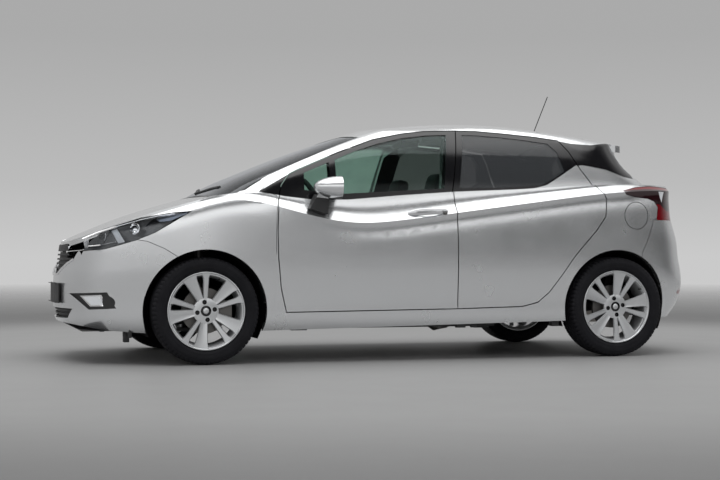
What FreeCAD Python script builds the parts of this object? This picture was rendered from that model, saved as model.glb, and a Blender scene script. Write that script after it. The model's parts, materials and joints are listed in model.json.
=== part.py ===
"""Five-door hatchback car, modelled in millimetres.

The front of the car is -Y, its left side is +X and up is +Z.
The origin is on the ground, under the middle of the car's length and width.
"""
import FreeCAD, Part
import math
import os

V = FreeCAD.Vector

# Overall size and stance
LENGTH = 3999.0
WIDTH = 1743.0
HEIGHT = 1452.0
WHEELBASE = 2525.0
FRONT_OVERHANG = 782.5
TRACK_FRONT = 1510.0
TRACK_REAR = 1520.0
BELLY_Z = 170.0

# Wheels and brakes
TYRE_RADIUS = 302.0
TYRE_WIDTH = 194.0
RIM_FLANGE_RADIUS = 219.5
RIM_SEAT_RADIUS = 203.0
RIM_WIDTH = 172.0
RIM_FLANGE = 8.0
SLIM_SPOKE_TURN = -27.0
FRONT_WHEEL_PHASE = 27.5
REAR_WHEEL_PHASE = -7.0
WHEEL_OFFSET = 45.0
ARCH_RADIUS = 345.0
DISC_RADIUS = 130.0
DISC_THICKNESS = 22.0

# Walls, glass and gaps
SIDE_WALL = 55.0
OUTER_SKIN = 12.0
ROOF_WALL = 35.0
BONNET_WALL = 30.0
BUMPER_WALL = 40.0
GLASS = 5.0
GLASS_DEPTH = 4.0
SHUT_GAP = 6.0
TRIM_GAP = 3.0
FIT = 0.3
DOOR_REBATE = 16.0
POST_DEPTH = 62.0
POST_THICKNESS = 45.0

# Plate holder on the nose, the foremost piece
PLATE_DEPTH = 14.0
PLATE_WIDTH = 520.0
PLATE_HEIGHT = 118.0
PLATE_Z = 394.0
PLATE_BACK = 20.0
PLATE_PAD = 140.0

FRONT_AXLE_Y = FRONT_OVERHANG - LENGTH / 2
REAR_AXLE_Y = FRONT_AXLE_Y + WHEELBASE
FRONT_TIP_Y = PLATE_DEPTH - LENGTH / 2
REAR_TIP_Y = LENGTH / 2
HALF_WIDTH = WIDTH / 2
AXLE_Z = TYRE_RADIUS

# Plan shape of the lower body: how long and how full its rounded ends are
NOSE_LENGTH = 900.0
NOSE_FULLNESS = 2.4
TAIL_LENGTH = 800.0
TAIL_FULLNESS = 3.0

# Heights along the car, as (Y, Z)
CREST_LINE = [(-1985, 660), (-1813, 733), (-1569, 827), (-1310, 900), (-1150, 946), (-1040, 958), (-813, 893),
              (-560, 822), (-389, 791), (-240, 794), (98, 841), (538, 901), (1230, 993), (1527, 1012), (2000, 1018)]
DECK_LINE = [(-2050, 636), (-1985, 664), (-1813, 740), (-1569, 835), (-1310, 908), (-1150, 954), (-1040, 972),
             (-900, 972), (-765, 953), (-598, 934), (-385, 934), (-58, 964), (285, 990), (669, 1008), (900, 1026),
             (1230, 1046), (1527, 1050), (2060, 1046)]
BONNET_CROWN = [(-2050, 0), (-1900, 6), (-1600, 22), (-1200, 28), (-1000, 28), (-700, 10), (2060, 0)]
ROOF_LINE = [(-1000, 1290), (-700, 1318), (-420, 1350), (-160, 1390), (0, 1411), (200, 1435),
             (400, 1449), (560, HEIGHT), (750, 1446), (1000, 1422), (1250, 1390), (1500, 1354), (1700, 1322)]
ROOF_CROWN = [(-420, 0.3), (-160, 0.5), (60, 0.85), (200, 1.0), (1700, 1.0)]
ROOF_DROP = [(0, 0), (150, 3), (300, 14), (420, 28), (500, 41), (550, 52), (590, 62), (620, 78), (650, 108), (700, 180)]

# Side profiles of the lower body, as (Z, how far inside the widest outline)
SIDE_PROFILE = [(170, 75), (200, 45), (235, 30), (290, 25), (350, 24), (430, 14), (520, 4), (620, 0)]
NOSE_PROFILE = [(170, 70), (235, 8), (330, 0), (485, 0), (572, 12), (640, 20), (700, 30)]
TAIL_PROFILE = [(170, 170), (235, 140), (290, 66), (350, 30), (454, 0), (524, 20), (571, 47), (680, 50), (743, 66),
                (805, 98), (844, 130), (1100, 138)]
SHOULDER = 62.0
FRONT_SHOULDER = 56.0
UNDERCUT = 10.0

# Upper body at each height: Z, half width, windscreen centre Y, rear window centre Y
CABIN = [(880, 822, -1300, 1700), (960, 797, -1172, 1725), (1040, 774, -1046, 1725), (1100, 752, -910, 1640),
         (1160, 728, -765, 1572), (1220, 701, -620, 1538), (1290, 662, -432, 1514), (1350, 624, -262, 1500),
         (1420, 570, -40, 1470), (1500, 505, 260, 1420)]
SCREEN_LENGTH = 520.0
SCREEN_FULLNESS = 4.5
REAR_SCREEN_LENGTH = 500.0
REAR_SCREEN_FULLNESS = 3.5

# How many rows of poles the top surfaces have
DECK_ROWS = 28
ROOF_ROWS = 18

# Side-view outlines, as (Y, Z)
FRONT_DOOR = [(-757, 293), (-790, 430), (-808, 600), (-812, 760), (-806, 900), (-770, 1015), (-720, 1080),
              (-675, 1103), (-418, 1212), (-182, 1299), (0, 1338), (150, 1358), (346, 1366), (318, 1230),
              (262, 986), (268, 700), (273, 303)]
REAR_DOOR = [(279, 303), (274, 700), (268, 986), (324, 1230), (352, 1366), (480, 1366), (640, 1356), (860, 1338),
             (1010, 1319), (1062, 1250), (1116, 1142), (1205, 1001), (1231, 955), (1222, 850), (1160, 765),
             (1078, 677), (1010, 600), (938, 500), (857, 395), (785, 336), (685, 312)]
FRONT_GLASS = [(-446, 968), (-440, 1172), (-310, 1226), (-160, 1276), (0, 1314), (150, 1334), (280, 1340), (258, 1225),
               (216, 1010)]
QUARTER_GLASS = [(-640, 990), (-634, 1090), (-560, 1122), (-478, 1156), (-484, 974)]
REAR_GLASS = [(312, 1014), (360, 1225), (384, 1342), (480, 1342), (640, 1332), (800, 1317), (935, 1300),
              (985, 1245), (1012, 1128), (925, 1076), (840, 1038), (600, 1020)]
HEADLAMP = [(-1935, 664), (-1902, 634), (-1841, 643), (-1762, 650), (-1684, 673), (-1599, 700), (-1500, 742),
            (-1309, 858), (-1385, 853), (-1569, 823), (-1813, 740)]
TAIL_LAMP = [(1355, 1008), (1450, 1030), (1558, 1039), (1700, 1034), (1920, 1030), (1920, 834), (1595, 832),
             (1608, 911), (1575, 949), (1525, 964), (1425, 973), (1367, 988)]


def smooth_step(value, low, high):
    """Rise smoothly from 0 at low to 1 at high."""
    t = min(1.0, max(0.0, (value - low) / (high - low)))
    return t * t * (3 - 2 * t)


def along(points, value):
    """Read a line through (position, height) points at one position."""
    if value <= points[0][0]:
        return points[0][1]
    for (x0, z0), (x1, z1) in zip(points, points[1:]):
        if value <= x1:
            return z0 + (z1 - z0) * (value - x0) / (x1 - x0)
    return points[-1][1]


def knots_for(count):
    """Clamped cubic knots and their multiplicities for a row of poles."""
    inner = count - 4
    return [float(i) for i in range(inner + 2)], [4] + [1] * inner + [4]


def spline_face(rows):
    """Smooth face that follows a net of poles, one row after another."""
    row_knots, row_mults = knots_for(len(rows))
    col_knots, col_mults = knots_for(len(rows[0]))
    surface = Part.BSplineSurface()
    surface.buildFromPolesMultsKnots(rows, row_mults, col_mults, row_knots, col_knots, False, False, 3, 3)
    return surface.toShape()


def spline_edge(poles):
    """Smooth edge that follows a row of poles."""
    knots, mults = knots_for(len(poles))
    curve = Part.BSplineCurve()
    curve.buildFromPolesMultsKnots(poles, mults, knots, False, 3)
    return curve.toShape()


def prism(points, axis, start, end):
    """Solid with a polygon outline, extruded along one axis from start to end."""
    place = {"x": lambda a, b, c: V(c, a, b), "y": lambda a, b, c: V(a, c, b), "z": lambda a, b, c: V(a, b, c)}[axis]
    corners = [place(a, b, start) for a, b in points]
    face = Part.Face(Part.makePolygon(corners + corners[:1]))
    return face.extrude(place(0, 0, end - start))


def grown(points, distance):
    """The polygon moved outwards by a distance, or inwards where it is negative."""
    corners = [V(a, b, 0) for a, b in points]
    wire = Part.makePolygon(corners + corners[:1])
    moved = wire.makeOffset2D(distance, join=2)
    ring = Part.Wire(Part.sortEdges(moved.Edges)[0])
    return [(v.Point.x, v.Point.y) for v in ring.OrderedVertexes]


def block(x0, x1, y0, y1, z0, z1):
    """Box between two corners."""
    return Part.makeBox(x1 - x0, y1 - y0, z1 - z0, V(x0, y0, z0))


def mirrored(shape):
    """The same shape on the other side of the car."""
    return shape.mirror(V(0, 0, 0), V(1, 0, 0))


def both(shape):
    """A half shape and its mirror image in one solid."""
    return shape.fuse(mirrored(shape)).removeSplitter()


def union(shapes):
    """All shapes fused into one."""
    return shapes[0].fuse(shapes[1:]) if len(shapes) > 1 else shapes[0]


def round_end(angle, half_width, length, fullness, centre_y, sign):
    """One column of a rounded end: x, y and outward normal; angle 0 is on the centre plane."""
    power = 2 / fullness
    s = math.sin(angle) ** power if angle > 1e-9 else 0.0
    c = math.cos(angle) ** power if angle < math.pi / 2 - 1e-9 else 0.0
    nx = s ** (fullness - 1) / half_width
    ny = c ** (fullness - 1) / length
    size = math.hypot(nx, ny)
    return half_width * s, centre_y + sign * length * c, nx / size, sign * ny / size


def plan_columns(half_width, nose, tail, count=10, middle=9):
    """Half outline seen from above, nose to tail; nose and tail are (tip y, length, fullness)."""
    front_y = nose[0] + nose[1]
    rear_y = tail[0] - tail[1]
    columns = []
    for i in range(count + 1):
        columns.append(round_end(math.pi / 2 * i / count, half_width, nose[1], nose[2], front_y, -1))
    for i in range(1, middle):
        columns.append((half_width, front_y + (rear_y - front_y) * i / middle, 1.0, 0.0))
    for i in range(count + 1):
        columns.append(round_end(math.pi / 2 * (1 - i / count), half_width, tail[1], tail[2], rear_y, 1))
    for inner, edge in ((1, 0), (-2, -1)):
        columns[inner] = (columns[inner][0], columns[edge][1], 0.0, columns[edge][3])
    return columns


def inside(column, inset):
    """Plan position of a column moved inside its outline."""
    x, y, nx, ny = column
    return max(x - nx * inset, 0.0) if x > 0 else 0.0, y - ny * inset


def half_solid(strips):
    """Closed half body between the centre plane and strips of pole rows, lowest first."""
    low, high = strips[0][0], strips[-1][-1]
    low_line = Part.makeLine(low[-1], low[0])
    high_line = Part.makeLine(high[-1], high[0])
    nose = [spline_edge([row[0] for row in strip]) for strip in strips]
    tail = [spline_edge([row[-1] for row in strip]) for strip in strips]
    faces = [spline_face(strip) for strip in strips]
    faces.append(Part.Face(Part.Wire([spline_edge(low), low_line])))
    faces.append(Part.Face(Part.Wire([spline_edge(high), high_line])))
    faces.append(Part.Face(Part.Wire(Part.sortEdges(nose + [high_line] + tail + [low_line])[0])))
    shell = Part.makeShell(faces)
    shell.sewShape()
    solid = Part.Solid(shell)
    if solid.Volume < 0:
        solid.reverse()
    return solid


def side_inset(column, z, crest, above):
    """How far the lower body lies inside its widest outline, at a height and a plan position."""
    y, ny = column[1], column[3]
    end = ny * ny
    front = 1 - smooth_step(y, -1250, -800)
    below = crest - z
    if above:
        share = -below / max(60.0, along(DECK_LINE, y) - crest)
        side = SHOULDER * (1 - (1 - min(share, 1.0)) ** 2) + 6 * max(0.0, share - 1)
    else:
        rear = smooth_step(y, -700, -100)
        side = along(SIDE_PROFILE, z) + rear * UNDERCUT * math.exp(-((below - 42) / 34) ** 2)
    round_front = FRONT_SHOULDER * math.exp(-max(below, 0) / 42) + 6 * max(0.0, -below) / 60
    side = side * (1 - front) + (along(SIDE_PROFILE, z) + round_front) * front
    end_inset = along(NOSE_PROFILE, z) if ny < 0 else along(TAIL_PROFILE, z)
    return side * (1 - end) + end_inset * end


def deck_solid(drop):
    """Everything under the bonnet, the waist and the boot sill, moved down by a drop."""
    rows = []
    for i in range(DECK_ROWS):
        y = -2060 + 4120 * i / (DECK_ROWS - 1)
        edge, crown = along(DECK_LINE, y), along(BONNET_CROWN, y)
        rows.append([V(x, y, edge + crown * max(0.0, 1 - (x / 700) ** 2) - drop) for x in range(0, 1001, 200)])
    return spline_face(rows).extrude(V(0, 0, -1300))


def roof_solid(drop):
    """Everything under the roof, moved down by a drop."""
    rows = []
    for i in range(ROOF_ROWS):
        y = -1400 + 3400 * i / (ROOF_ROWS - 1)
        crown = along(ROOF_CROWN, y)
        rows.append([V(x, y, along(ROOF_LINE, y) - fall * crown - drop) for x, fall in ROOF_DROP + [(900, 400)]])
    return spline_face(rows).extrude(V(0, 0, -900))


def lower_half(inset, drop, low_z):
    """Left half of the lower body, with its sides moved in by an inset and its top down by a drop."""
    columns = plan_columns(HALF_WIDTH, (FRONT_TIP_Y, NOSE_LENGTH, NOSE_FULLNESS), (REAR_TIP_Y, TAIL_LENGTH, TAIL_FULLNESS))
    crests = [along(CREST_LINE, column[1]) for column in columns]
    lower = [[low_z] * len(columns)]
    lower += [[z] * len(columns) for z in (200, 235, 290, 350, 430, 520)]
    for share in (0.2, 0.4, 0.6, 0.8):
        lower.append([520 + (crest - 85 - 520) * share for crest in crests])
    lower += [[crest - below for crest in crests] for below in (85, 42, 14, 0)]
    spans = [max(60.0, along(DECK_LINE, column[1]) - crest) for column, crest in zip(columns, crests)]
    upper = [[crest + share * span for crest, span in zip(crests, spans)] for share in (0, 0.12, 0.35, 0.65, 1.0, 1.3)]
    top = max(upper[-1]) + 40
    upper.append([top] * len(columns))
    strips = []
    for heights, above in ((lower, False), (upper, True)):
        strip = []
        for row in heights:
            points = []
            for column, z, crest in zip(columns, row, crests):
                x, y = inside(column, side_inset(column, z, crest, above and z > crest) + inset)
                points.append(V(x, y, z))
            strip.append(points)
        strips.append(strip)
    return half_solid(strips).common(deck_solid(drop))


def cabin_half(inset, drop):
    """Left half of the upper body, with its sides moved in by an inset and its roof down by a drop."""
    strip = []
    for z, half_width, screen_y, rear_y in CABIN:
        columns = plan_columns(half_width, (screen_y, SCREEN_LENGTH, SCREEN_FULLNESS),
                               (rear_y, REAR_SCREEN_LENGTH, REAR_SCREEN_FULLNESS), 9, 6)
        strip.append([V(*inside(column, inset), z) for column in columns])
    return half_solid([strip]).common(roof_solid(drop))


LOWER_CACHE = {}
BODY_CACHE = {}
LAYER_CACHE = {}


def lower(inset, drop=None):
    """Left half of the lower body alone, with its skin moved in by an inset."""
    drop = inset if drop is None else drop
    if (inset, drop) not in LOWER_CACHE:
        LOWER_CACHE[(inset, drop)] = lower_half(inset, drop, BELLY_Z if inset == 0 else BELLY_Z - 20)
    return LOWER_CACHE[(inset, drop)]



def body(inset, drop=None):
    """Left half of the whole body, with its skin moved in by an inset."""
    drop = inset if drop is None else drop
    if (inset, drop) not in BODY_CACHE:
        BODY_CACHE[(inset, drop)] = lower(inset, min(drop, BONNET_WALL)).fuse(cabin_half(inset, drop))
    return BODY_CACHE[(inset, drop)]


def layer(outer, inner):
    """Left half of the body's wall between two depths."""
    if (outer, inner) not in LAYER_CACHE:
        LAYER_CACHE[(outer, inner)] = body(outer).cut(body(inner))
    return LAYER_CACHE[(outer, inner)]


# Splits of the body, as outlines seen from the side (Y, Z), from above (X, Y) or from the end (X, Z)
FRONT_END = [(-2100, 100), (-818, 100), (-822, 760), (-816, 900), (-806, 957), (-900, 979), (-823, 1042),
             (-860, 1078), (-1400, 1100), (-2100, 1100)]
FRONT_BUMPER = [(-2100, 100), (-1380, 100), (-1385, 608), (-1450, 650), (-1540, 690), (-1599, 700), (-1684, 673),
                (-1762, 650), (-1841, 643), (-1902, 634), (-1935, 664), (-2100, 690)]
BUMPER_BELLY = [(-2100, 100), (-2100, 236), (-1985, 231), (-1750, 190), (-1400, 168), (-1400, 100)]
SILL_BELLY = [(-1100, 100), (-1100, 182), (920, 220), (1700, 232), (1700, 100)]
TAIL_LAMP_FOOT = TAIL_LAMP[6][1] - FIT
REAR_BUMPER = [(1500, 100), (1480, 633), (1514, 692), (1569, TAIL_LAMP_FOOT), (2100, TAIL_LAMP_FOOT), (2100, 100)]
BONNET = [(-10, -1935), (300, -1918), (470, -1866), (560, -1780), (640, -1670), (690, -1560), (704, -1440),
          (700, -1300), (676, -1185), (640, -1168), (400, -1205), (-10, -1228)]
SCUTTLE = [(-10, -1222), (401, -1199), (643, -1162), (700, -1100), (742, -980), (720, -880), (-10, -880)]
ROOF_PANEL = [(-10, -700), (540, -700), (520, 0), (515, 1234), (-10, 1234)]
TAILGATE = [(-10, 1520), (500, 1520), (520, 1360), (565, 1250), (600, 1120), (615, 1040), (600, 900), (585, 800),
            (540, 665), (505, 630), (-10, 612)]
TAILGATE_GLASS = [(-10, 1276), (440, 1268), (500, 1222), (545, 1130), (520, 1098), (-10, 1092)]
WINDSCREEN = [(-10, 900), (748, 900), (728, 1000), (700, 1090), (650, 1200), (575, 1318), (300, 1338), (-10, 1343)]
GRILLE = [(-10, 505), (150, 508), (400, 596), (440, 645), (452, 700), (-10, 700)]
FOG_BEZEL = [(-1930, 396), (-1746, 406), (-1700, 316), (-1836, 306)]
INTAKE = [(-10, 246), (330, 252), (400, 308), (-10, 308)]
TAILGATE_Y = 1240.0
TAILGATE_REBATE = 24.0
TAILGATE_GAP = 9.0
GRILLE_PLATE = 26.0
GRILLE_BACK = 36.0
FOG_LAMP = (640.0, 350.0)
FOG_LAMP_RADIUS = 38.0
LAMP_INNER_X = 455.0
WING_WALL = 30.0
STRUT_TOP = (553.0, 850.0)
STRUT_FOOT = (612.0, 400.0)
BALL_JOINT = (702.0, 186.0)
STEER_WAY = V(STRUT_TOP[0] - BALL_JOINT[0], 0, STRUT_TOP[1] - BALL_JOINT[1]).normalize()
STRUT_RADIUS = 24.0
SPRING_RADIUS = 62.0
TOWER_RADIUS = 90.0
WHEELHOUSE_X = 488.0
RAIL_X = 400.0
RAIL_WIDTH = 89.0
RAIL_Z = 440.0
ENGINE_HALF = 360.0
PANEL = 6.0


def cylinder(radius, start, end):
    """Round bar between two points."""
    return Part.makeCylinder(radius, (end - start).Length, start, end - start)


def arch(y, radius, x0=200.0, x1=1000.0):
    """Round bar across the car at an axle, on the left side."""
    return cylinder(radius, V(x0, y, AXLE_Z), V(x1, y, AXLE_Z))


def arches(radius):
    """Both wheel arches of the left side."""
    return [arch(FRONT_AXLE_Y, radius), arch(REAR_AXLE_Y, radius)]


def side_prism(points, grow=0.0):
    """Side-view outline carried through the left half."""
    return prism(grown(points, grow) if grow else points, "x", 200.0, 1100.0)


def end_prism(points, y0, y1, grow=0.0):
    """Outline seen from the end, on the left half."""
    return prism(grown(points, grow) if grow else points, "y", y0, y1)


def plan_prism(points, z0, z1, grow=0.0):
    """Outline seen from above, on the left half."""
    return prism(grown(points, grow) if grow else points, "z", z0, z1)


def tailgate_prism(grow=0.0):
    """Everything of the left half that the tailgate takes."""
    return end_prism(TAILGATE, TAILGATE_Y - grow, 2200.0, grow)


def half_space():
    """The left half, to trim what reaches over the centre plane."""
    return block(0, 1200, -2300, 2300, 0, 1600)


def door(outline, windows):
    """A door as thick as the real one: outer skin to its outline, inner frame stepped in, windows cut."""
    skin = layer(0, OUTER_SKIN).common(side_prism(outline))
    frame = layer(OUTER_SKIN, SIDE_WALL).common(side_prism(outline, -DOOR_REBATE))
    whole = skin.fuse(frame)
    return whole.cut([side_prism(window) for window in windows] + arches(ARCH_RADIUS + SHUT_GAP))


def pane(windows):
    """Glass of a door, just under its skin."""
    sheet = layer(GLASS_DEPTH, GLASS_DEPTH + GLASS)
    return Part.makeCompound([sheet.common(side_prism(window, -FIT)) for window in windows])


def body_side():
    """Left body side: A-post, sill, B-post, C-post and rear quarter in one piece."""
    wall = layer(0, SIDE_WALL)
    cuts = [side_prism(FRONT_DOOR, SHUT_GAP), side_prism(REAR_DOOR, SHUT_GAP), side_prism(FRONT_END),
            side_prism(REAR_BUMPER, TRIM_GAP), side_prism(TAIL_LAMP, TRIM_GAP), side_prism(SILL_BELLY),
            tailgate_prism(TAILGATE_GAP), plan_prism(ROOF_PANEL, 1150, 1600, TRIM_GAP),
            end_prism(WINDSCREEN, -1600, 100)]
    outer = wall.cut(cuts + arches(ARCH_RADIUS))
    deep = POST_DEPTH + POST_THICKNESS
    sill = lower(0).cut(lower(deep)).common(block(300, 1000, -812, 985, 170, 284)).cut(side_prism(SILL_BELLY))
    sill = sill.cut(arches(ARCH_RADIUS + PANEL + 3))
    posts = []
    for band in ([(-806, 280), (-812, 1010), (-760, 1010), (-735, 760), (-735, 280)],
                 [(215, 280), (215, 980), (285, 1390), (400, 1390), (330, 980), (330, 280)]):
        posts.append(body(POST_DEPTH).cut(body(deep)).common(side_prism(band)))
    gussets = [[(-880, 1003), (-800, 1040), (-745, 1096), (-690, 1122), (-735, 1010), (-790, 994)],
               [(290, 1375), (410, 1375), (410, 1400), (290, 1400)]]
    for band in gussets:
        posts.append(body(0).cut(body(deep)).common(side_prism(band)).cut(cuts))
    hinge_room = block(735, 768, 270, 348, 938, 978)
    return largest(union([outer, sill] + posts).cut(hinge_room))


def largest(shape):
    """The largest solid of a shape."""
    return sorted(shape.Solids, key=lambda solid: solid.Volume)[-1]


def roof_panel():
    """Roof skin between the windscreen and the tailgate."""
    half = cabin_half(0, 0).common(plan_prism(ROOF_PANEL, 1100, 1600))
    half = half.cut([roof_solid(ROOF_WALL), end_prism(WINDSCREEN, -1600, 100, TRIM_GAP)])
    return both(largest(half.common(half_space())))


def windscreen():
    """Windscreen in its frame."""
    sheet = cabin_half(GLASS_DEPTH, GLASS_DEPTH).cut(cabin_half(GLASS_DEPTH + GLASS, GLASS_DEPTH + GLASS))
    half = sheet.common(end_prism(WINDSCREEN, -1600, 100, -FIT)).cut(deck_solid(BONNET_WALL / 2))
    return both(largest(half.common(half_space())))


def front_wall(inner):
    """Wall of the lower body's left half to a depth."""
    return lower(0).cut(lower(inner))


def front_wing():
    """Left front wing."""
    cuts = [side_prism(FRONT_BUMPER, TRIM_GAP), lamp_prism(TRIM_GAP), plan_prism(BONNET, 500, 1300, SHUT_GAP),
            plan_prism(SCUTTLE, 500, 1300, TRIM_GAP), arch(FRONT_AXLE_Y, ARCH_RADIUS), side_prism(SILL_BELLY)]
    pillar_foot = cabin_half(0, 0).cut(cabin_half(WING_WALL, WING_WALL)).common(block(600, 900, -1130, -780, 930, 1120))
    screen_room = end_prism(WINDSCREEN, -1600, 100, TRIM_GAP)
    pillar_foot = pillar_foot.cut([lower(WING_WALL), screen_room])
    cabin = cabin_half(0, 0)
    skin = front_wall(WING_WALL).cut([cabin.common(screen_room), cabin_half(WING_WALL, WING_WALL)]).fuse(pillar_foot)
    return largest(skin.common(side_prism(FRONT_END, -TRIM_GAP)).cut(cuts))


def bonnet():
    """Bonnet with its real thickness."""
    slab = lower(0).common(plan_prism(BONNET, 400, 1300)).cut(deck_solid(BONNET_WALL))
    return both(largest(slab.common(half_space())))


def scuttle():
    """Scuttle panel between bonnet and windscreen."""
    slab = lower(0).common(plan_prism(SCUTTLE, 400, 1300)).cut([deck_solid(BONNET_WALL), cabin_half(0, 0)])
    return both(largest(slab.common(half_space())))


def fog_bore():
    """Bore for the fog lamp."""
    x, z = FOG_LAMP
    return cylinder(FOG_LAMP_RADIUS + FIT, V(x, -2100, z), V(x, -1500, z))


def lamp_prism(grow=0.0):
    """Headlamp outline from the grille's end outwards."""
    return side_prism(HEADLAMP, grow).cut(block(0, LAMP_INNER_X - grow, -2200, -1000, 500, 900))


def front_bumper():
    """Front bumper skin with its openings."""
    cuts = [lamp_prism(TRIM_GAP), plan_prism(BONNET, 500, 1300, SHUT_GAP), arch(FRONT_AXLE_Y, ARCH_RADIUS),
            prism(BUMPER_BELLY, "x", -10, 1100), end_prism(GRILLE, -2100, -1700), end_prism(INTAKE, -2100, -1700),
            side_prism(FOG_BEZEL), fog_bore()]
    region = prism(FRONT_BUMPER, "x", -10, 1100)
    return both(largest(front_wall(BUMPER_WALL).common(region).cut(cuts).common(half_space())))


def plate_holder():
    """Blank plate holder on the nose."""
    low, high = PLATE_Z - PLATE_HEIGHT / 2, PLATE_Z + PLATE_HEIGHT / 2
    front = -LENGTH / 2
    face = block(0, PLATE_WIDTH / 2, front, front + PLATE_BACK, low, high)
    pad = block(0, PLATE_PAD, front, FRONT_TIP_Y + 60, low + 15, high - 15)
    return both(largest(face.fuse(pad).cut(lower(0))))


def grille():
    """Upper grille with its slats, and lower intake grille."""
    plates = []
    for outline, low, high, step in ((GRILLE, 520, 640, 26), (INTAKE, 256, 306, 22)):
        window = end_prism(outline, -2100, -1700, -FIT).common(half_space())
        window = window.cut(plan_prism(BONNET, 500, 1300, SHUT_GAP))
        front, back = lower(OUTER_SKIN).common(window), lower(GRILLE_BACK).common(window)
        slots = []
        z = low
        while z < high:
            slots.append(block(-10, 600, -2100, -1600, z, z + step * 0.6))
            z += step
        slotted = front.cut(slots)
        plates.append(both(union([slotted, lower(GRILLE_PLATE).common(window)]).cut(back)))
    bezel = lower(OUTER_SKIN).cut(lower(GRILLE_BACK)).common(side_prism(FOG_BEZEL, -FIT))
    bezel = largest(bezel.cut(fog_bore()))
    return Part.makeCompound(plates + [bezel, mirrored(bezel)])


def front_lamps():
    """Headlamps and fog lamps of both sides."""
    lamp = layer(0, POST_DEPTH).common(lamp_prism()).cut(
        [plan_prism(BONNET, 500, 1300, SHUT_GAP), end_prism(GRILLE, -2100, -1700, TRIM_GAP)])
    x, z = FOG_LAMP
    fog = cylinder(FOG_LAMP_RADIUS, V(x, -2100, z), V(x, -1500, z)).common(layer(OUTER_SKIN, POST_DEPTH))
    half = [largest(lamp), largest(fog)]
    return Part.makeCompound(half + [mirrored(piece) for piece in half])


def tail_lamps():
    """Tail lamps of both sides."""
    lamp = layer(0, POST_DEPTH).common(side_prism(TAIL_LAMP)).cut(tailgate_prism(SHUT_GAP))
    return Part.makeCompound([largest(lamp), mirrored(largest(lamp))])


def rear_bumper():
    """Rear bumper skin."""
    region = prism(REAR_BUMPER, "x", -10, 1100)
    cuts = [tailgate_prism(SHUT_GAP), arch(REAR_AXLE_Y, ARCH_RADIUS), block(-10, 1100, 1400, 2100, 100, 232)]
    return both(largest(front_wall(BUMPER_WALL).common(region).cut(cuts).common(half_space())))


SPOILER = [(-10, 1330), (528, 1330), (532, 1425), (548, 1450), (535, 1500), (430, 1556), (250, 1575), (-10, 1580)]
SPOILER_THICKNESS = 42.0


def spoiler_half():
    """Left half of the roof spoiler."""
    slab = roof_solid(0).common(plan_prism(SPOILER, 1100, 1600)).cut(roof_solid(SPOILER_THICKNESS))
    return slab.cut([end_prism([(505, 1600), (525, 1362), (700, 1362), (700, 1600)], 1200, 1700)])


def rear_spoiler():
    """Roof spoiler over the rear window."""
    return both(largest(spoiler_half().common(half_space())))


def tailgate():
    """Tailgate with its window cut."""
    skin = layer(0, OUTER_SKIN).common(tailgate_prism())
    frame = layer(OUTER_SKIN, SIDE_WALL).common(tailgate_prism(-TAILGATE_REBATE))
    spoiler_seat = plan_prism(SPOILER, 1100, 1600, FIT).cut(roof_solid(SPOILER_THICKNESS + FIT))
    cuts = [end_prism(TAILGATE_GLASS, 1200, 2200), spoiler_seat]
    return both(largest(skin.fuse(frame).cut(cuts).common(half_space())))


def tailgate_glass():
    """Rear window."""
    sheet = cabin_half(GLASS_DEPTH, GLASS_DEPTH).cut(cabin_half(GLASS_DEPTH + GLASS, GLASS_DEPTH + GLASS))
    half = sheet.common(end_prism(TAILGATE_GLASS, 1350, 2200, -FIT)).common(half_space())
    return both(largest(half))


MIRROR_CENTRE = (915.0, -455.0, 1000.0)
MIRROR_SIZE = (98.0, 160.0, 66.0)
MIRROR_RECESS = 6.0
MIRROR_SWEEP = 8.0
MIRROR_FOOT = [(-634, 880), (-530, 848), (-520, 915), (-530, 965), (-585, 965), (-606, 930)]
FLOOR_Z = 190.0
FLOOR_WALL = 16.0
REAR_FLOOR_Z = 340.0
BULKHEAD_Y = -905.0
PAD_X = 680.0
PAD_YS = (-650.0, 480.0)
PAD_Z = 180.0
REAR_RAIL_X = 415.0
REAR_RAIL_Z = 296.0
AXLE_BUSH_X = 500.0
SEAT_PAN_Y = 560.0
BOOT_END_Y = 1850.0


def wheelhouse(y):
    """Inner arch of one wheel."""
    outer = arch(y, ARCH_RADIUS + PANEL + 2, WHEELHOUSE_X, HALF_WIDTH)
    inner = arch(y, ARCH_RADIUS + 2, WHEELHOUSE_X + PANEL, HALF_WIDTH + 10)
    return outer.cut(inner).common(body(POST_DEPTH)).common(block(0, 1000, y - 500, y + 500, 235, 900))


def strut_line(z, offset=0.0):
    """Point of the strut's own axis at a height."""
    share = (z - STRUT_FOOT[1]) / (STRUT_TOP[1] - STRUT_FOOT[1])
    return V(STRUT_FOOT[0] + (STRUT_TOP[0] - STRUT_FOOT[0]) * share + offset, FRONT_AXLE_Y, z)


def steer_point(distance):
    """Point on the steering axis at a distance above the top of the strut."""
    return V(STRUT_TOP[0], FRONT_AXLE_Y, STRUT_TOP[1]) + STEER_WAY * distance


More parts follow.
